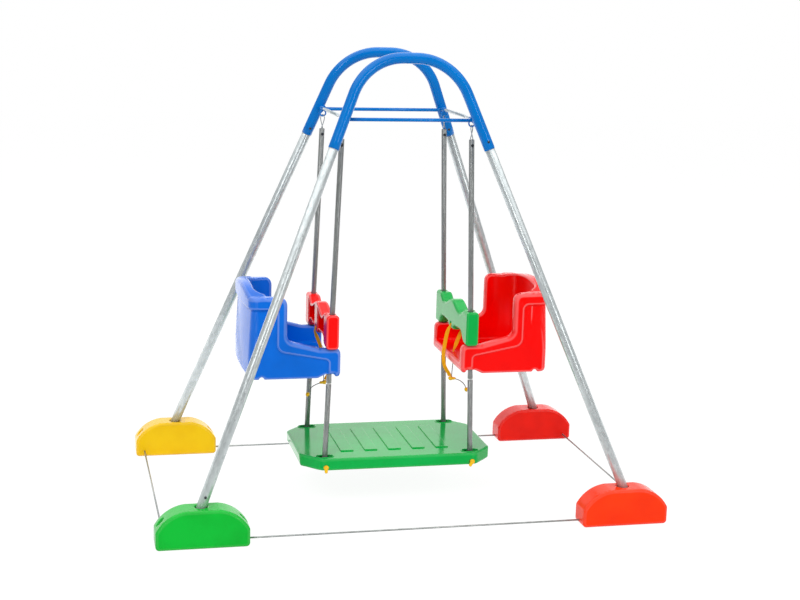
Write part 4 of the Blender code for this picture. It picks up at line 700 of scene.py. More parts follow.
def swept(name, path, outline, finish, closed=False, ends=((), ()), twist=None):
    """Sweep a closed outline along a path, turned by twist about each of its points, in radians.

    The ends add rings of (scale, shift inwards), which hollow them out or round them.
    """
    count = len(path)
    tangents = []
    for index in range(count):
        if closed:
            run = path[(index + 1) % count] - path[index - 1]
        else:
            run = path[min(index + 1, count - 1)] - path[max(index - 1, 0)]
        tangents.append(run.normalized())
    normal = tangents[0].orthogonal().normalized()
    if abs(tangents[0].y) < 0.9:
        normal = (Vector((0, 1, 0)) - tangents[0] * tangents[0].y).normalized()
    rings = []
    for index in range(count):
        if index:
            normal = tangents[index - 1].rotation_difference(tangents[index]) @ normal
        normal = (normal - tangents[index] * normal.dot(tangents[index])).normalized()
        first = Matrix.Rotation(twist[index], 3, tangents[index]) @ normal if twist else normal
        rings.append((path[index], first, tangents[index].cross(first), 1.0))
    if closed:
        drift = (tangents[-1].rotation_difference(tangents[0]) @ rings[-1][1])
        slip = math.atan2(drift.cross(rings[0][1]).dot(tangents[0]), drift.dot(rings[0][1]))
        for index, (place, first, second, scale) in enumerate(rings):
            spin = Matrix.Rotation(slip * index / count, 3, tangents[index])
            rings[index] = (place, spin @ first, spin @ second, scale)
    else:
        first_end = [(path[0] + tangents[0] * shift, *rings[0][1:3], scale) for scale, shift in ends[0]]
        last_end = [(path[-1] - tangents[-1] * shift, *rings[-1][1:3], scale) for scale, shift in ends[1]]
        rings = first_end[::-1] + rings + last_end
    return lofted(name, [[place + (first * a + second * b) * scale for a, b in outline]
                         for place, first, second, scale in rings], finish, closed)


paint_finish = powder_coat_blue()
arch_bore = (ARCH_RADIUS - TUBE_WALL) / ARCH_RADIUS
open_end = ((1 - 0.0004 / ARCH_RADIUS, -0.0004), (arch_bore, -0.0004), (arch_bore, 0.02))
for side_name, side in SIDES:
    arch = swept("arch_tube_" + side_name, arch_path(side), circle(ARCH_RADIUS, 32), paint_finish,
                 ends=(open_end, open_end))
    dress(arch, "frame", "blue_paint", "arch_" + side_name)


# Screws. A black self-tapping screw locks each leg in its arch, from the front or, at the front left, from
# the right; one more pins the front left leg near its foot.
SCREW_UP = 0.022
SCREW_HEAD = 0.0042
SCREW_GAP = 0.0001
FOOT_SCREW_Z = 0.150


def blackened_steel():
    """Black-oxide steel: nearly black, with a dull metallic gloss and a fine mottle."""
    made, tree, place = new_material("black_oxide_steel")
    rub = add_node(tree, "TexNoise", [("Vector", place)], Scale=1 / 0.002, Detail=3.0)
    tint = add_node(tree, "ValToRGB", [("Fac", rub.outputs["Fac"])],
                    stops=[(0.35, "#2A2C30"), (0.75, "#5A5D62")])
    shader = add_node(tree, "BsdfPrincipled", [("Base Color", tint.outputs["Color"])],
                      Roughness=0.42, Metallic=0.9)
    add_node(tree, "OutputMaterial", [("Surface", shader.outputs["BSDF"])])
    return made


screw_finish = blackened_steel()
screw_profile = [(0.0022, -0.006), (0.0022, 0.0), (SCREW_HEAD, 0.0002), (SCREW_HEAD, 0.0010),
                 (SCREW_HEAD * 0.82, 0.0016), (SCREW_HEAD * 0.74, 0.0028), (SCREW_HEAD * 0.52, 0.0036),
                 (SCREW_HEAD * 0.30, 0.0038), (SCREW_HEAD * 0.26, 0.0022), (0.0, 0.0022)]


def screw_head(name, height, tube_radius, hand, side, across, *nodes):
    """Screw head on the wall of a leg or of the arch round it, facing square to the line across."""
    outward = Vector(across).cross(leg_direction(hand, side)).normalized()
    spot = leg_point(height, hand, side) + outward * (tube_radius + SCREW_GAP)
    head = turned(name, screw_profile, spot, outward, screw_finish, sides=20)
    dress(head, "frame", "dark_steel", *nodes)


for corner, _, hand, side in CORNERS:
    across = (0.0, 1.0, 0.0) if corner == "front_left" else (1.0, 0.0, 0.0)
    screw_head("leg_screw_head_" + corner, ARCH_END_Z + SCREW_UP, ARCH_RADIUS, hand, side, across,
               "leg_screw_" + corner)
screw_head("foot_screw_head", FOOT_SCREW_Z, LEG_RADIUS, -1, -1, (1.0, 0.0, 0.0))


# Tie rods. Thin galvanised wire rods near the ground between the feet. Those at the sides enter the feet
# near their outer ends, a little higher than the other two.
ROD_RADIUS = 0.0030
ROD_X = 0.808
ROD_INSERT = 0.025
FRONT_ROD_Z = 0.014
SIDE_ROD_Z = 0.020
tie_finish = galvanised_steel("galvanised_rod", "#7C807E", "#A9ADAB", 0.3)
half_x = FOOT_X - FOOT_HALF_LENGTH + ROD_INSERT
half_y = FOOT_Y - FOOT_HALF_WIDTH + ROD_INSERT
rod_ends = {side_name: [Vector((end * half_x, side * FOOT_Y, FRONT_ROD_Z)) for end in (-1, 1)]
            for side_name, side in SIDES}
rod_ends.update({hand_name: [Vector((hand * ROD_X, end * half_y, SIDE_ROD_Z)) for end in (-1, 1)]
                 for hand_name, hand in HANDS})
for rod_name, ends in rod_ends.items():
    rod = pipe("ground_rod_" + rod_name, *ends, ROD_RADIUS, 0.001, tie_finish, hollow=0.001, sides=12)
    dress(rod, "frame", "galvanised_steel", "tie_rod_" + rod_name)


# Crossbars and ring brackets. Blue powder-coated with the arches: a thin tube across each arch, and under
# each shoulder a stub with a small gusset and a welded ring.
HINGE_X = 0.215
HINGE_Z = 1.285
POLE_Y = 0.178
STUB_Z = 1.301
STUB_Y = 0.160
STUB_RADIUS = 0.007
CROSSBAR_Z = 1.297
CROSSBAR_RADIUS = 0.006
RING_RADIUS = 0.010
RING_WIRE = 0.0025
GUSSET_HALF = (0.0145, 0.0135)
GUSSET_Y = leg_point(STUB_Z, 1, 1).y - ARCH_RADIUS - 0.0021


def bordered(centre_x, centre_y, half_x, half_y, corner, steps=8):
    """Rectangle with rounded corners, anticlockwise."""
    return rounded_outline([(centre_x - half_x, centre_y - half_y, corner),
                            (centre_x + half_x, centre_y - half_y, corner),
                            (centre_x + half_x, centre_y + half_y, corner),
                            (centre_x - half_x, centre_y + half_y, corner)], steps)


gusset_outline = [(b, a) for a, b in bordered(0.0, 0.0, *GUSSET_HALF, 0.003, 4)][::-1]
for side_name, side in SIDES:
    reach = HINGE_X - STUB_RADIUS + 0.0015
    ends = [Vector((hand * reach, side * (GUSSET_Y - 0.0098), CROSSBAR_Z)) for hand in (-1, 1)]
    bar = pipe("cross_tube_" + side_name, *ends, CROSSBAR_RADIUS, 0.002, paint_finish, hollow=0.001,
               sides=20)
    dress(bar, "frame", "blue_paint", "crossbar_" + side_name)
for corner, _, hand, side in CORNERS:
    length = abs(leg_point(STUB_Z, hand, side).y) - ARCH_RADIUS + 0.0005 - STUB_Y
    stub = turned("ring_bracket_stub_" + corner,
                  [(0.0052, 0.004), (0.0052, 0.0), (STUB_RADIUS - 0.0006, 0.0), (STUB_RADIUS, 0.0006),
                   (STUB_RADIUS, length - 0.008), (0.0092, length), (0.0094, length + 0.004)],
                  Vector((hand * HINGE_X, side * STUB_Y, STUB_Z)), Vector((0.0, side, 0.0)), paint_finish)
    dress(stub, "frame", "blue_paint", "ring_bracket_" + corner)
    turns = [math.tau * step / 36 for step in range(36)]
    ring_path = [Vector((hand * HINGE_X + RING_RADIUS * math.cos(turn), side * POLE_Y,
                         HINGE_Z + RING_RADIUS * math.sin(turn))) for turn in turns]
    ring = swept("hanging_ring_" + corner, ring_path, circle(RING_WIRE, 14), paint_finish, closed=True)
    dress(ring, "frame", "blue_paint")
    gusset_path = [Vector((hand * HINGE_X, side * (GUSSET_Y + shift), STUB_Z))
                   for shift in (-0.002, 0.002)]
    gusset = swept("bracket_gusset_" + corner, gusset_path, gusset_outline, paint_finish)
    dress(gusset, "frame", "blue_paint")


# Spacer rods. Two-part galvanised rods from the front brackets to the back ones: a sleeve for most of the
# length and a thinner rod that plugs into it.
SPACER_LENGTH = 0.380
SLEEVE_LENGTH = 0.285
SLEEVE_RADIUS = 0.0052
THIN_ROD_RADIUS = 0.0040
spacer_finish = galvanised_steel("galvanised_spacer", "#7E8B94", "#BFC8CC", 0.08)
for hand_name, hand in HANDS:
    spacer = turned("spacer_rod_" + hand_name,
                    [(0.0010, 0.0), (SLEEVE_RADIUS, 0.0), (SLEEVE_RADIUS, SLEEVE_LENGTH - 0.0005),
                     (SLEEVE_RADIUS - 0.0004, SLEEVE_LENGTH), (THIN_ROD_RADIUS, SLEEVE_LENGTH + 0.0002),
                     (THIN_ROD_RADIUS, SPACER_LENGTH), (0.0010, SPACER_LENGTH)],
                    Vector((hand * HINGE_X, SPACER_LENGTH / 2, STUB_Z)), Vector((0.0, -1.0, 0.0)),
                    spacer_finish, sides=20)
    dress(spacer, "frame", "galvanised_steel", "spacer_" + hand_name)


# Wire links and hanger pins. A crossed loop of galvanised spring wire joins each ring to the black pin
# through the top of its pole.
PIVOT_X = 0.2525
PIVOT_Z = 0.141
PIN_Z = 1.2135
PIN_RADIUS = 0.0020
PIN_HEAD_RADIUS = 0.0050
LINK_WIRE = 0.0015
LINK_SPREAD = 0.012
LINK_CROSSING = 0.0052
link_finish = galvanised_steel("galvanised_wire", "#6E757A", "#B5BCC0", 0.02)


def pole_point(z, hand, side):
    """A point at height z on a pole, which runs from its ring to its footboard pin."""
    share = (HINGE_Z - z) / (HINGE_Z - PIVOT_Z)
    return Vector((hand * (HINGE_X + (PIVOT_X - HINGE_X) * share), side * POLE_Y, z))


link_top = HINGE_Z - RING_RADIUS + RING_WIRE + LINK_WIRE + 0.0005
link_bottom = PIN_Z - PIN_RADIUS - LINK_WIRE - 0.0003
link_middle = (link_top + link_bottom) / 2
link_reach = (link_top - link_bottom) / 2
pin_half = [(PIN_RADIUS, 0.0092), (PIN_HEAD_RADIUS, 0.0092), (PIN_HEAD_RADIUS, 0.0104),
            (PIN_HEAD_RADIUS - 0.0005, 0.0110), (0.0030, 0.0112)]
pin_profile = [(radius, -height) for radius, height in reversed(pin_half)] + pin_half
for corner, hand_name, hand, side in CORNERS:
    loop = []
    for step in range(72):
        angle = math.tau * step / 72
        centre = pole_point(link_middle + link_reach * math.cos(angle), hand, side)
        loop.append(centre + Vector((hand * LINK_CROSSING * math.sin(2 * angle),
                                     LINK_SPREAD * math.sin(angle) * (1 + math.cos(angle)) / 2, 0.0)))
    link = swept("wire_loop_" + corner, loop, circle(LINK_WIRE, 12), link_finish, closed=True)
    dress(link, hand_name + "_swing", "galvanised_steel", "wire_link_" + corner)
    pin = turned("hanger_pin_head_" + corner, pin_profile, pole_point(PIN_Z, hand, side),
                 Vector((0.0, 1.0, 0.0)), screw_finish, sides=20)
    dress(pin, hand_name + "_swing", "dark_steel", "hanger_pin_" + corner)


# Poles. Zinc-plated drawn tube, 18 mm, in two lengths: the lower one is swaged to a cone and a spigot on
# which the seat sits. A crimped band just under the cone is painted pale, as a highlight on the joint.
POLE_RADIUS = 0.009
POLE_BORE = 0.0063
POLE_TOP_Z = 1.232
POLE_BELOW_PIVOT = 0.0105
NOTCH_Z = 0.4555
SPIGOT_RADIUS = 0.0075
BAND_UNDER_NOTCH = 0.0346
pole_finish = galvanised_steel("zinc_plated_pole", "#808382", "#949796", 0.5, 0.36)


def crimp_highlight_finish():
    """Zinc on the crimp, smooth and shiny, its colour painted pale as a highlight on the joint."""
    made, tree, place = new_material("crimp_zinc_painted_highlight")
    pale_mottle = add_node(tree, "TexNoise", [("Vector", place)], Scale=1 / 0.004, Detail=2.0)
    tint = add_node(tree, "ValToRGB", [("Fac", pale_mottle.outputs["Fac"])],
                    stops=[(0.3, "#C9CCCC"), (0.8, "#F2F4F4")])
    shader = add_node(tree, "BsdfPrincipled", [("Base Color", tint.outputs["Color"])],
                      Roughness=0.28, Metallic=1.0)
    add_node(tree, "OutputMaterial", [("Surface", shader.outputs["BSDF"])])
    return made


band_finish = crimp_highlight_finish()
band_profile = [(0.0080, 0.0), (0.0091, 0.0002), (0.0091, 0.0042), (0.0080, 0.0044)]
for corner, hand_name, hand, side in CORNERS:
    top = pole_point(POLE_TOP_Z, hand, side)
    bottom = pole_point(PIVOT_Z - POLE_BELOW_PIVOT, hand, side)
    upper = pipe("upper_pole_tube_" + corner, pole_point(NOTCH_Z + 0.0063, hand, side), top, POLE_RADIUS,
                 POLE_RADIUS - 0.0012, pole_finish, sides=24)
    dress(upper, hand_name + "_swing", "pole_steel", "upper_pole_" + corner)
    notch = (pole_point(NOTCH_Z - 0.0003, hand, side) - bottom).length
    profile = [(POLE_BORE, 0.02), (POLE_BORE, 0.0), (POLE_RADIUS - 0.0003, 0.0), (POLE_RADIUS, 0.0003),
               (POLE_RADIUS, notch - 0.0350), (POLE_RADIUS - 0.0005, notch - 0.0344),
               (POLE_RADIUS - 0.0005, notch - 0.0316), (POLE_RADIUS, notch - 0.0310),
               (POLE_RADIUS, notch - 0.0185), (POLE_RADIUS - 0.0004, notch - 0.0165),
               (SPIGOT_RADIUS + 0.0003, notch - 0.0012), (SPIGOT_RADIUS, notch),
               (SPIGOT_RADIUS, notch + 0.030), (SPIGOT_RADIUS - 0.0015, notch + 0.031)]
    lower = turned("lower_pole_tube_" + corner, profile, bottom, top - bottom, pole_finish)
    dress(lower, hand_name + "_swing", "pole_steel", "lower_pole_" + corner)
    way = (top - bottom).normalized()
    band = turned("crimp_band_" + corner, band_profile, bottom + way * (notch - BAND_UNDER_NOTCH), way,
                  band_finish)
    dress(band, hand_name + "_swing", "pole_steel")


# Seats. Each is one blow-moulded polyethylene bucket, open to the front, with a thick rounded rim, broad
# armrests and shallow sunk panels on its sides and back; it stands on the cones of its two lower poles.
SEAT_FRONT = 0.203
SEAT_BACK = 0.509
SEAT_BULGE = 0.015
SEAT_HALF = 0.195
SEAT_BASE = 0.443
ARM_Z = 0.5425
WING_X = 0.386
WING_Z = 0.718
BACK_Z = 0.739
PAN_Z = 0.478
SEAT_WALL = 0.032
SEAT_SKIN = 0.005
SEAT_RECESS = 0.005
SEAT_RIB = 0.0045
STEP_Z = 0.571
SLOT_HALF_Y = 0.009
SEAT_EDGE = 0.0125
CAVITY_FILLET = 0.013
PANEL_TOP_Z = WING_Z - 0.040
BACK_PANEL_LOW_Z = 0.52
BOSS_RADIUS = 0.0125
POLE_PLAY = 0.0008
SPIGOT_PLAY = 0.0004
pole_at_notch = pole_point(NOTCH_Z, 1, 1).x

seat_side = rounded_outline([
    (SEAT_FRONT, SEAT_BASE + 0.004, 0.016), (pole_at_notch - 0.020, SEAT_BASE + 0.004, 0.003),
    (pole_at_notch - 0.014, NOTCH_Z, 0.003), (pole_at_notch + 0.014, NOTCH_Z, 0.004),
    (pole_at_notch + 0.040, SEAT_BASE, 0.012), (0.458, SEAT_BASE, 0.003),
    (0.464, SEAT_BASE + 0.008, 0.002), (0.472, SEAT_BASE + 0.008, 0.002), (0.478, SEAT_BASE, 0.003),
    (SEAT_BACK + SEAT_BULGE, SEAT_BASE, 0.026), (SEAT_BACK + SEAT_BULGE, BACK_Z + 0.02, 0.0),
    (SEAT_BACK - 0.040, BACK_Z + 0.02, 0.0), (SEAT_BACK - 0.060, WING_Z + 0.003, 0.0),
    (WING_X, WING_Z + 0.003, 0.032), (WING_X, STEP_Z, 0.026), (0.276, ARM_Z, 0.020),
    (SEAT_FRONT, ARM_Z, 0.022)])
seat_plan_corners = [(SEAT_FRONT, SEAT_HALF, 0.012), (SEAT_FRONT, -SEAT_HALF, 0.012),
                     (SEAT_BACK, -SEAT_HALF, 0.032)]
for step in range(2, 15):
    y = -SEAT_HALF + 2 * SEAT_HALF * step / 16
    seat_plan_corners.append((SEAT_BACK + SEAT_BULGE * math.cos(math.pi * y / (2 * SEAT_HALF)), y, 0.0))
seat_plan_corners.append((SEAT_BACK, SEAT_HALF, 0.032))
seat_plan = rounded_outline(seat_plan_corners)
seat_cavity = rounded_outline([
    (SEAT_FRONT - 0.1, -(SEAT_HALF - SEAT_WALL), 0.0), (0.484, -(SEAT_HALF - SEAT_WALL), 0.085),
    (0.484, SEAT_HALF - SEAT_WALL, 0.085), (SEAT_FRONT - 0.1, SEAT_HALF - SEAT_WALL, 0.0)], 14)
seat_panel = rounded_outline([
    (SEAT_FRONT + 0.044, SEAT_BASE - 0.03, 0.0), (SEAT_BACK + 0.08, SEAT_BASE - 0.03, 0.0),
    (SEAT_BACK + 0.08, PANEL_TOP_Z, 0.0), (WING_X + 0.034, PANEL_TOP_Z, 0.016),
    (WING_X + 0.034, STEP_Z - 0.034, 0.030), (SEAT_FRONT + 0.044, ARM_Z - 0.038, 0.012)])
pole_way = (pole_point(1.2, 1, 1) - pole_point(0.2, 1, 1)).normalized()
seat_below = [(x, z - 0.06 if z < PAN_Z else z) for x, z in seat_side]


def lay_facing(mesh, name, hand, finish):
    """Put a copy of a right-hand piece's mesh in the scene, turned half round for the left-hand side."""
    piece = lay_on(mesh.copy(), name, finish)
    piece.rotation_euler.z = 0.0 if hand > 0 else math.pi
    return piece


def seat_underside(x, wide, z, cavity, plan, rim):
    """Hollow between the seat's two skins, open underneath, less its pole bosses and ribs."""
    hollow = np.maximum(np.maximum(outline_distance(seat_below, x, z) + SEAT_SKIN, plan + 0.015),
                        np.maximum(rim + SEAT_SKIN, SEAT_SKIN - cavity))
    boss = rod_distance(pole_point(SEAT_BASE, 1, 1), pole_way, BOSS_RADIUS, x, wide, z)
    under = np.maximum(SEAT_BASE + 0.004 - z, z - PAN_Z)
    rib = np.maximum(np.minimum(np.abs(wide - 0.055), np.abs(x - 0.360)) - SEAT_RIB / 2, under)
    return np.maximum(np.maximum(hollow, -boss), -rib)


def seat_field(x, y, z):
    """Shape of the right-hand seat."""
    wide = np.abs(y)
    plan = outline_distance(seat_plan, x, y)
    inner_half = SEAT_HALF - SEAT_WALL
    arc = np.cos(math.pi * np.minimum(wide, inner_half) / (2 * inner_half))
    rim = z - WING_Z - (BACK_Z - WING_Z) * arc
    body = meet(SEAT_EDGE, outline_distance(seat_side, x, z), plan, rim)
    inner = outline_distance(seat_cavity, x, y)
    body = carve(0.007, body, meet(CAVITY_FILLET, inner, PAN_Z - z))
    side_recess = meet(0.002, outline_distance(seat_panel, x, z), SEAT_HALF - SEAT_RECESS - wide)
    height = np.clip((z - BACK_PANEL_LOW_Z) / (PANEL_TOP_Z - BACK_PANEL_LOW_Z), 0.0, 1.0)
    back_recess = meet(0.002, z - PANEL_TOP_Z, -0.001 - 0.0085 * height - plan, 0.45 - x)
    body = carve(0.003, body, np.minimum(side_recess, back_recess))
    cavity = np.maximum(inner, PAN_Z - z)
    body = carve(0.0012, body, seat_underside(x, wide, z, cavity, plan, rim))
    bore = rod_distance(pole_point(SEAT_BASE, 1, 1), pole_way, POLE_RADIUS + POLE_PLAY, x, wide, z)
    bore = np.maximum(bore, NOTCH_Z + 0.006 - z)
    neck = rod_distance(pole_point(SEAT_BASE, 1, 1), pole_way, SPIGOT_RADIUS + SPIGOT_PLAY, x, wide, z)
    slot = np.maximum(np.maximum(np.abs(x - CORD_START.x) - 0.0035, wide - SLOT_HALF_Y),
                      np.abs(z - PAN_Z) - 0.02)
    return carve(0.0015, body, np.minimum(np.minimum(bore, neck), slot))


seat_shell = moulded("seat_bucket", seat_field, (SEAT_FRONT, -SEAT_HALF, SEAT_BASE),
                     (SEAT_BACK + SEAT_BULGE, SEAT_HALF, BACK_Z), 0.0032)
seat_colours = {"left": ("blue", "#006CDC", "#0066D2"), "right": ("red", "#FF0300", "#F60100")}
for hand_name, hand in HANDS:
    colour, bright, shade = seat_colours[hand_name]
    # The seats' rims and edges are painted paler than the other mouldings, as a painted highlight.
    finish = moulded_polyethylene(colour + "_polyethylene_seat", bright, shade, edge_highlight=0.12)
    bucket = lay_facing(seat_shell, "seat_bucket_" + hand_name, hand, finish)
    dress(bucket, hand_name + "_swing", colour + "_plastic", "seat_" + hand_name)


# Safety bars. Each is one polyethylene moulding that slides on its two poles: a thin front wall and rim,
# open towards the child, solid sleeves round the poles and a solid middle with the slot for the strap.
BAR_FRONT = 0.2165
BAR_DEPTH = 0.042
BAR_HALF = 0.205
BAR_LOW = 0.5428
BAR_TOP = 0.6563
BAR_SLEEVE = 0.050
BAR_WEB = 0.026
BAR_RIM = 0.006
BAR_CORNER = 0.011
BAR_EDGE = 0.0055
BAR_SKIN = 0.004
STRAP_SLOT_Z = 0.576
POCKET_CORNER = 0.005


def wave(knots, at):
    """Smooth level between (place, level) knots, flat at each knot."""
    for (start, low), (end, high) in zip(knots, knots[1:]):
        if at <= end:
            return low + (high - low) * (1 - math.cos(math.pi * (at - start) / (end - start))) / 2
    return knots[-1][1]


bar_top = [(0.0, BAR_TOP + 0.006), (0.105, BAR_TOP - 0.020), (BAR_HALF - BAR_SLEEVE, BAR_TOP),
           (BAR_HALF, BAR_TOP)]
bar_low = [(0.0, 0.558), (0.020, 0.559), (0.048, 0.575), (0.115, 0.578),
           (BAR_HALF - BAR_SLEEVE + 0.017, BAR_LOW), (BAR_HALF, BAR_LOW)]
bar_steps = [(BAR_HALF + 0.02) * step / 52 for step in range(-52, 53)]
bar_outline = ([(y, wave(bar_low, abs(y))) for y in bar_steps]
               + [(y, wave(bar_top, abs(y))) for y in reversed(bar_steps)])
pocket_inset = BAR_RIM + POCKET_CORNER
pocket_start = BAR_WEB + POCKET_CORNER
pocket_run = BAR_HALF - BAR_SLEEVE - 0.004 - POCKET_CORNER - pocket_start
pocket_steps = [pocket_start + pocket_run * step / 16 for step in range(17)]
pocket_outline = ([(y, wave(bar_low, y) + pocket_inset) for y in pocket_steps]
                  + [(y, wave(bar_top, y) - pocket_inset - 0.004) for y in reversed(pocket_steps)])


def bar_field(x, y, z):
    """Shape of the right-hand safety bar."""
    wide = np.abs(y)
    middle = BAR_FRONT + BAR_DEPTH / 2
    solid = np.maximum((middle - x) / 0.01, (wide - BAR_HALF + BAR_SLEEVE) / 0.01)
    corner = BAR_EDGE + (BAR_CORNER - BAR_EDGE) * np.clip(solid, 0.0, 1.0)
    body = meet(corner, outline_distance(bar_outline, y, z), np.abs(x - middle) - BAR_DEPTH / 2)
    body = meet(0.004, body, wide - BAR_HALF)
    pocket = meet(0.003, outline_distance(pocket_outline, wide, z) - POCKET_CORNER,
                  BAR_FRONT + BAR_SKIN - x)
    bore = rod_distance(pole_point(BAR_LOW, 1, 1), pole_way, POLE_RADIUS + POLE_PLAY, x, wide, z)
    slot = meet(0.003, wide - SLOT_HALF_Y, np.abs(z - STRAP_SLOT_Z) - 0.008)
    return carve(0.0015, body, np.minimum(np.minimum(pocket, bore), slot))


bar_shell = moulded("safety_bar_moulding", bar_field, (BAR_FRONT, -BAR_HALF, BAR_LOW),
                    (BAR_FRONT + BAR_DEPTH, BAR_HALF, BAR_TOP + 0.006), 0.0026)
# Each bar's last value is how far its edges are painted towards white, as a painted highlight.
bar_colours = {"left": ("red", "#FF0300", "#F60100", 0.10), "right": ("green", "#06B04A", "#02A844", 0.03)}
for hand_name, hand in HANDS:
    colour, bright, shade, edge_highlight = bar_colours[hand_name]
    finish = moulded_polyethylene(colour + "_polyethylene_bar", bright, shade, edge_highlight=edge_highlight)
    bar = lay_facing(bar_shell, "safety_bar_moulding_" + hand_name, hand, finish)
    dress(bar, hand_name + "_bar", colour + "_plastic", "safety_bar_" + hand_name)


# Crotch straps. Orange polypropylene webbing, 14 mm wide: from the toggle under the seat up past its front
# edge, through the slot of the bar and down into the slot of the pan, with a twist in each free run.
STRAP_HALF_WIDTH = 0.007
STRAP_HALF_THICK = 0.0008
STRAP_PITCH = 0.0022
FRONT_TWIST = math.radians(52)
BACK_TWIST = math.radians(-50)


def orange_webbing():
    """Woven polypropylene: bright orange ribs, drawn 2.2 mm apart to show, with light passing through."""
    made, tree, place = new_material("orange_polypropylene_webbing")
    count = math.tau / 20 / STRAP_PITCH
    ribs = add_node(tree, "TexWave", [("Vector", place)], bands_direction="Z", Scale=count)
    rows = add_node(tree, "TexWave", [("Vector", place)], bands_direction="Y", Scale=count)
    weave = add_node(tree, "Math", [(0, ribs.outputs["Fac"]), (1, rows.outputs["Fac"])],
                     operation="MULTIPLY")
    fuzz = add_node(tree, "TexNoise", [("Vector", place)], Scale=1 / 0.003, Detail=3.0)
    mottled = add_node(tree, "Math", [(0, weave.outputs[0]), (1, fuzz.outputs["Fac"])],
                       operation="ADD")
    tint = add_node(tree, "ValToRGB", [("Fac", mottled.outputs[0])],
                    stops=[(0.30, "#FFB00C"), (0.70, "#FFC416"), (1.0, "#FFD42A")])
    relief = add_node(tree, "Bump", [("Height", weave.outputs[0])], Strength=0.6, Distance=0.0005)
    shader = add_node(tree, "BsdfPrincipled", [("Base Color", tint.outputs["Color"]),
                                               ("Normal", relief.outputs["Normal"])],
                      Roughness=0.62, IOR=1.35)
    through = add_node(tree, "BsdfTranslucent", [("Color", tint.outputs["Color"])])
    cloth = add_node(tree, "MixShader", [(1, shader.outputs["BSDF"]), (2, through.outputs["BSDF"])],
                     Fac=0.35)
    add_node(tree, "OutputMaterial", [("Surface", cloth.outputs[0])])
    return made


strap_finish = orange_webbing()
strap_spots = [
    (0.2203, 0.3873), (0.2170, 0.3963), (0.2062, 0.413), (0.1990, 0.429), (0.1957, 0.452), (0.1960, 0.484),
    (0.2052, 0.541), (0.2148, 0.567), (0.2179, 0.5752), (0.2265, 0.577), (0.2496, 0.577), (0.2581, 0.5752),
    (0.2604, 0.567), (0.2601, 0.556), (0.2496, 0.530), (0.234, 0.489), (0.230, 0.476), (0.230, 0.447)]
strap_section = bordered(0.0, 0.0, STRAP_HALF_WIDTH, STRAP_HALF_THICK, 0.0006, 3)
strap_route = smooth_route([Vector((x, 0.0, z)) for x, z in strap_spots], 0.003)
strap_peak = max(range(len(strap_route)), key=lambda index: strap_route[index].z)
strap_twist = []
for index, spot in enumerate(strap_route):
    if index < strap_peak:
        strap_twist.append(FRONT_TWIST * min(1.0, max(0.0, (0.572 - spot.z) / 0.030)))
    else:
        free = min((0.568 - spot.z) / 0.026, (spot.z - 0.483) / 0.022)
        strap_twist.append(BACK_TWIST * min(1.0, max(0.0, free)))
for hand_name, hand in HANDS:
    strap_path = [facing(spot, hand) for spot in strap_route]
    strap = swept("crotch_webbing_" + hand_name, strap_path, strap_section, strap_finish,
                  twist=strap_twist)
    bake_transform(strap)
    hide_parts("crotch_strap_" + hand_name)


# Strap toggles. A small yellow clip hangs under the seat's front edge: the webbing ends in its top and the
# lanyard runs through it.
TOGGLE_CENTRE = Vector((0.2288, 0.0, 0.3795))
TOGGLE_HALF = (0.0140, 0.0075, 0.0075)


def path_distance(path, radius, x, y, z):
    """Distance to a round cord along a path."""
    nearest = np.inf
    for start, end in zip(path, path[1:]):
        run = end - start
        px, py, pz = x - start.x, y - start.y, z - start.z
        share = np.clip((px * run.x + py * run.y + pz * run.z) / run.length_squared, 0.0, 1.0)
        square = (px - share * run.x) ** 2 + (py - share * run.y) ** 2 + (pz - share * run.z) ** 2
        nearest = np.minimum(nearest, square)
    return np.sqrt(nearest) - radius


def toggle_field(x, y, z):
    """Shape of the right-hand toggle."""
    dx, dz = x - TOGGLE_CENTRE.x, z - TOGGLE_CENTRE.z
    lump = ((dx + 0.0045) / 0.0090) ** 2 + (y / TOGGLE_HALF[1]) ** 2 + (dz / TOGGLE_HALF[2]) ** 2
    tail = ((dx - 0.0055) / 0.0085) ** 2 + (y / 0.0058) ** 2 + ((dz + 0.001) / 0.0048) ** 2
    body = np.minimum((np.sqrt(lump) - 1) * 0.0075, (np.sqrt(tail) - 1) * 0.005)
    near = [spot for spot in smooth_route(cord_spots, 0.004) if abs(spot.x - TOGGLE_CENTRE.x) < 0.024
            and abs(spot.z - TOGGLE_CENTRE.z) < 0.018]
    body = carve(0.0005, body, path_distance(near, CORD_RADIUS + 0.0005, x, y, z))
    return carve(0.0008, body, np.hypot(dx - 0.0015, dz - 0.0092) - 0.0042)


toggle_shell = moulded("strap_clip", toggle_field, [a - b for a, b in zip(TOGGLE_CENTRE, TOGGLE_HALF)],
                       [a + b for a, b in zip(TOGGLE_CENTRE, TOGGLE_HALF)], 0.0011)
for hand_name, hand in HANDS:
    clip = lay_facing(toggle_shell, "strap_clip_" + hand_name, hand, bead_finish)
    dress(clip, hand_name + "_swing", "yellow_plastic", "strap_toggle_" + hand_name)


# Footboard. One glossy green polyethylene tray, open and ribbed underneath, with five raised treads across
# it and a raised rim round each of the four slots that the poles stand in.
BOARD_HALF_X = 0.332
BOARD_HALF_Y = 0.210
BOARD_CHAMFER_X = 0.066
BOARD_CHAMFER_Y = 0.072
BOARD_TOP = 0.170
BOARD_BASE = 0.129
BOARD_SKIN = 0.0045
POLE_SLOT_X = 0.0285
POLE_SLOT_Y = 0.013
PIN_HOLE = 0.0043
PIN_PLAY = 0.0048
RIB_HALF = 0.0022
RIB_REACH = 0.21
TREAD_PITCH = 0.083
TREAD_HALF_X = 0.022
TREAD_HALF_Y = 0.130
TREAD_RISE = 0.0035
near_x = BOARD_HALF_X - BOARD_CHAMFER_X
near_y = BOARD_HALF_Y - BOARD_CHAMFER_Y
board_plan = rounded_outline([(x, y, 0.030) for x, y in (
    (-near_x, -BOARD_HALF_Y), (near_x, -BOARD_HALF_Y), (BOARD_HALF_X, -near_y), (BOARD_HALF_X, near_y),
    (near_x, BOARD_HALF_Y), (-near_x, BOARD_HALF_Y), (-BOARD_HALF_X, near_y), (-BOARD_HALF_X, -near_y))])
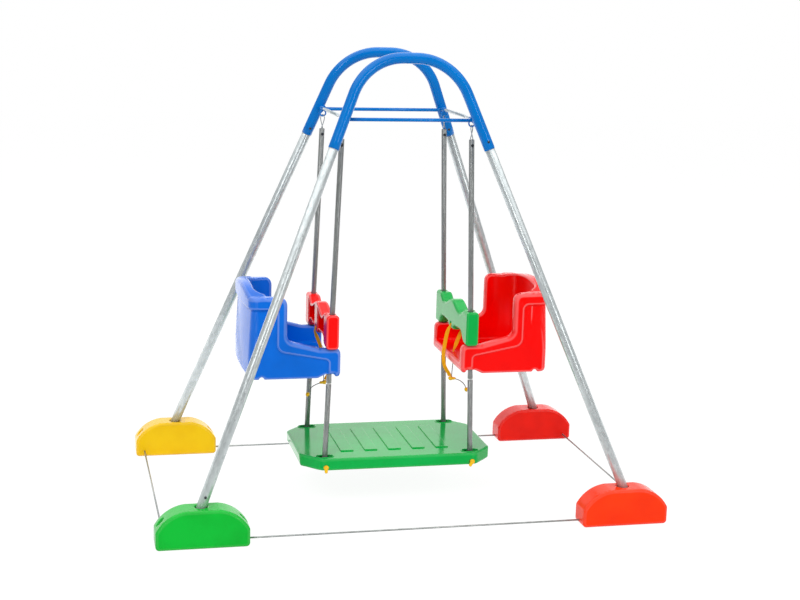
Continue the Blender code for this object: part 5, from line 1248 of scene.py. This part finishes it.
slot_plan = bordered(PIVOT_X, POLE_Y, POLE_SLOT_X, POLE_SLOT_Y, POLE_SLOT_Y * 0.96)


def board_field(x, y, z):
    """Shape of the footboard."""
    plan = outline_distance(board_plan, x, y)
    draft = np.abs(x) - BOARD_HALF_X + 0.1 * (BOARD_TOP - z)
    body = meet(0.006, np.maximum(plan, draft), z - BOARD_TOP, BOARD_BASE - z)
    slot = outline_distance(slot_plan, np.abs(x), np.abs(y))
    hollow = meet(0.003, np.maximum(plan, draft) + BOARD_SKIN, z - BOARD_TOP + BOARD_SKIN)
    ribs = np.abs(np.mod(x, TREAD_PITCH) - TREAD_PITCH / 2) - RIB_HALF
    ribs = np.maximum(np.maximum(ribs, np.abs(x) - RIB_REACH), BOARD_BASE + 0.006 - z)
    hollow = np.maximum(np.maximum(hollow, BOARD_SKIN - slot), -ribs)
    body = carve(0.0015, body, hollow)
    play = np.where(x > 0, PIN_PLAY, 0.0)
    hole = np.hypot(np.maximum(np.abs(np.abs(x) - PIVOT_X) - play, 0.0), z - PIVOT_Z) - PIN_HOLE
    hole = np.maximum(hole, POLE_Y - POLE_SLOT_Y - 0.008 - np.abs(y))
    return carve(0.0012, body, np.minimum(slot, hole))


board_finish = moulded_polyethylene("green_polyethylene_footboard", "#00B44C", "#00AC44", 0.13)
board_mesh = moulded("footboard_tray", board_field, (-BOARD_HALF_X, -BOARD_HALF_Y, BOARD_BASE),
                     (BOARD_HALF_X, BOARD_HALF_Y, BOARD_TOP), 0.0030)
dress(lay_on(board_mesh, "footboard_tray", board_finish), "platform", "green_plastic", "footboard")
tread_layers = [(0.0, -0.001), (0.0, TREAD_RISE - 0.0009), (0.0003, TREAD_RISE - 0.0003),
                (0.0009, TREAD_RISE), (0.0020, TREAD_RISE)]
for index in range(5):
    x = (index - 2) * TREAD_PITCH
    rings = [[(a, b, BOARD_TOP + rise)
              for a, b in bordered(x, 0.0, TREAD_HALF_X - inset, TREAD_HALF_Y - inset, 0.003)]
             for inset, rise in tread_layers]
    dress(lofted("footboard_tread_%d" % index, rings, board_finish), "platform", "green_plastic")
rim_layers = [(0.0050, -0.0010), (0.0044, 0.0008), (0.0032, 0.0018), (0.0014, 0.0020), (0.0004, 0.0015),
              (0.0, 0.0006), (0.0, -0.012)]
for corner, _, hand, side in CORNERS:
    rings = [[(a, b, BOARD_TOP + rise)
              for a, b in bordered(hand * PIVOT_X, side * POLE_Y, POLE_SLOT_X + grow, POLE_SLOT_Y + grow,
                                   POLE_SLOT_Y * 0.96 + grow)]
             for grow, rise in rim_layers]
    dress(lofted("slot_rim_" + corner, rings, board_finish, closed=True), "platform", "green_plastic")


# Footboard pins. Yellow polyethylene plugs pushed in from the edges of the board through the poles, each
# with a round head and a pull tab that hangs from it. The front right tab is turned aside.
PLUG_RADIUS = 0.0040
PLUG_HEAD = 0.0085
TAB_LENGTH = 0.0185
TAB_HALF_WIDTH = 0.0052
TAB_ASIDE = math.radians(29.0)
plug_profile = [(0.0030, -0.0505), (PLUG_RADIUS, -0.0490), (PLUG_RADIUS, 0.0), (PLUG_HEAD - 0.0006, 0.0),
                (PLUG_HEAD, 0.0006), (PLUG_HEAD, 0.0040), (PLUG_HEAD - 0.0006, 0.0052),
                (PLUG_HEAD - 0.0018, 0.0060), (0.0010, 0.0063)]
tab_layers = [(0.0008, 0.0010), (0.0, 0.0016), (0.0, 0.0050), (0.0006, 0.0060), (0.0018, 0.0066),
              (0.0026, 0.0066)]
for corner, _, hand, side in CORNERS:
    face = Vector((hand * PIVOT_X, side * (BOARD_HALF_Y + 0.0003), PIVOT_Z))
    plug = turned("footboard_plug_" + corner, plug_profile, face, Vector((0.0, side, 0.0)), bead_finish)
    dress(plug, "platform", "yellow_plastic", "footboard_pin_" + corner)
    turn = Matrix.Rotation(TAB_ASIDE if corner == "front_right" else 0.0, 3, "Y")
    rings = [[face + turn @ Vector((a, side * out, b))
              for a, b in bordered(0.0, -TAB_LENGTH / 2, TAB_HALF_WIDTH - inset, TAB_LENGTH / 2 - inset,
                                   0.0046 - inset)][::-side]
             for inset, out in tab_layers]
    dress(lofted("pull_tab_" + corner, rings, bead_finish), "platform", "yellow_plastic")


bpy.context.view_layer.update()
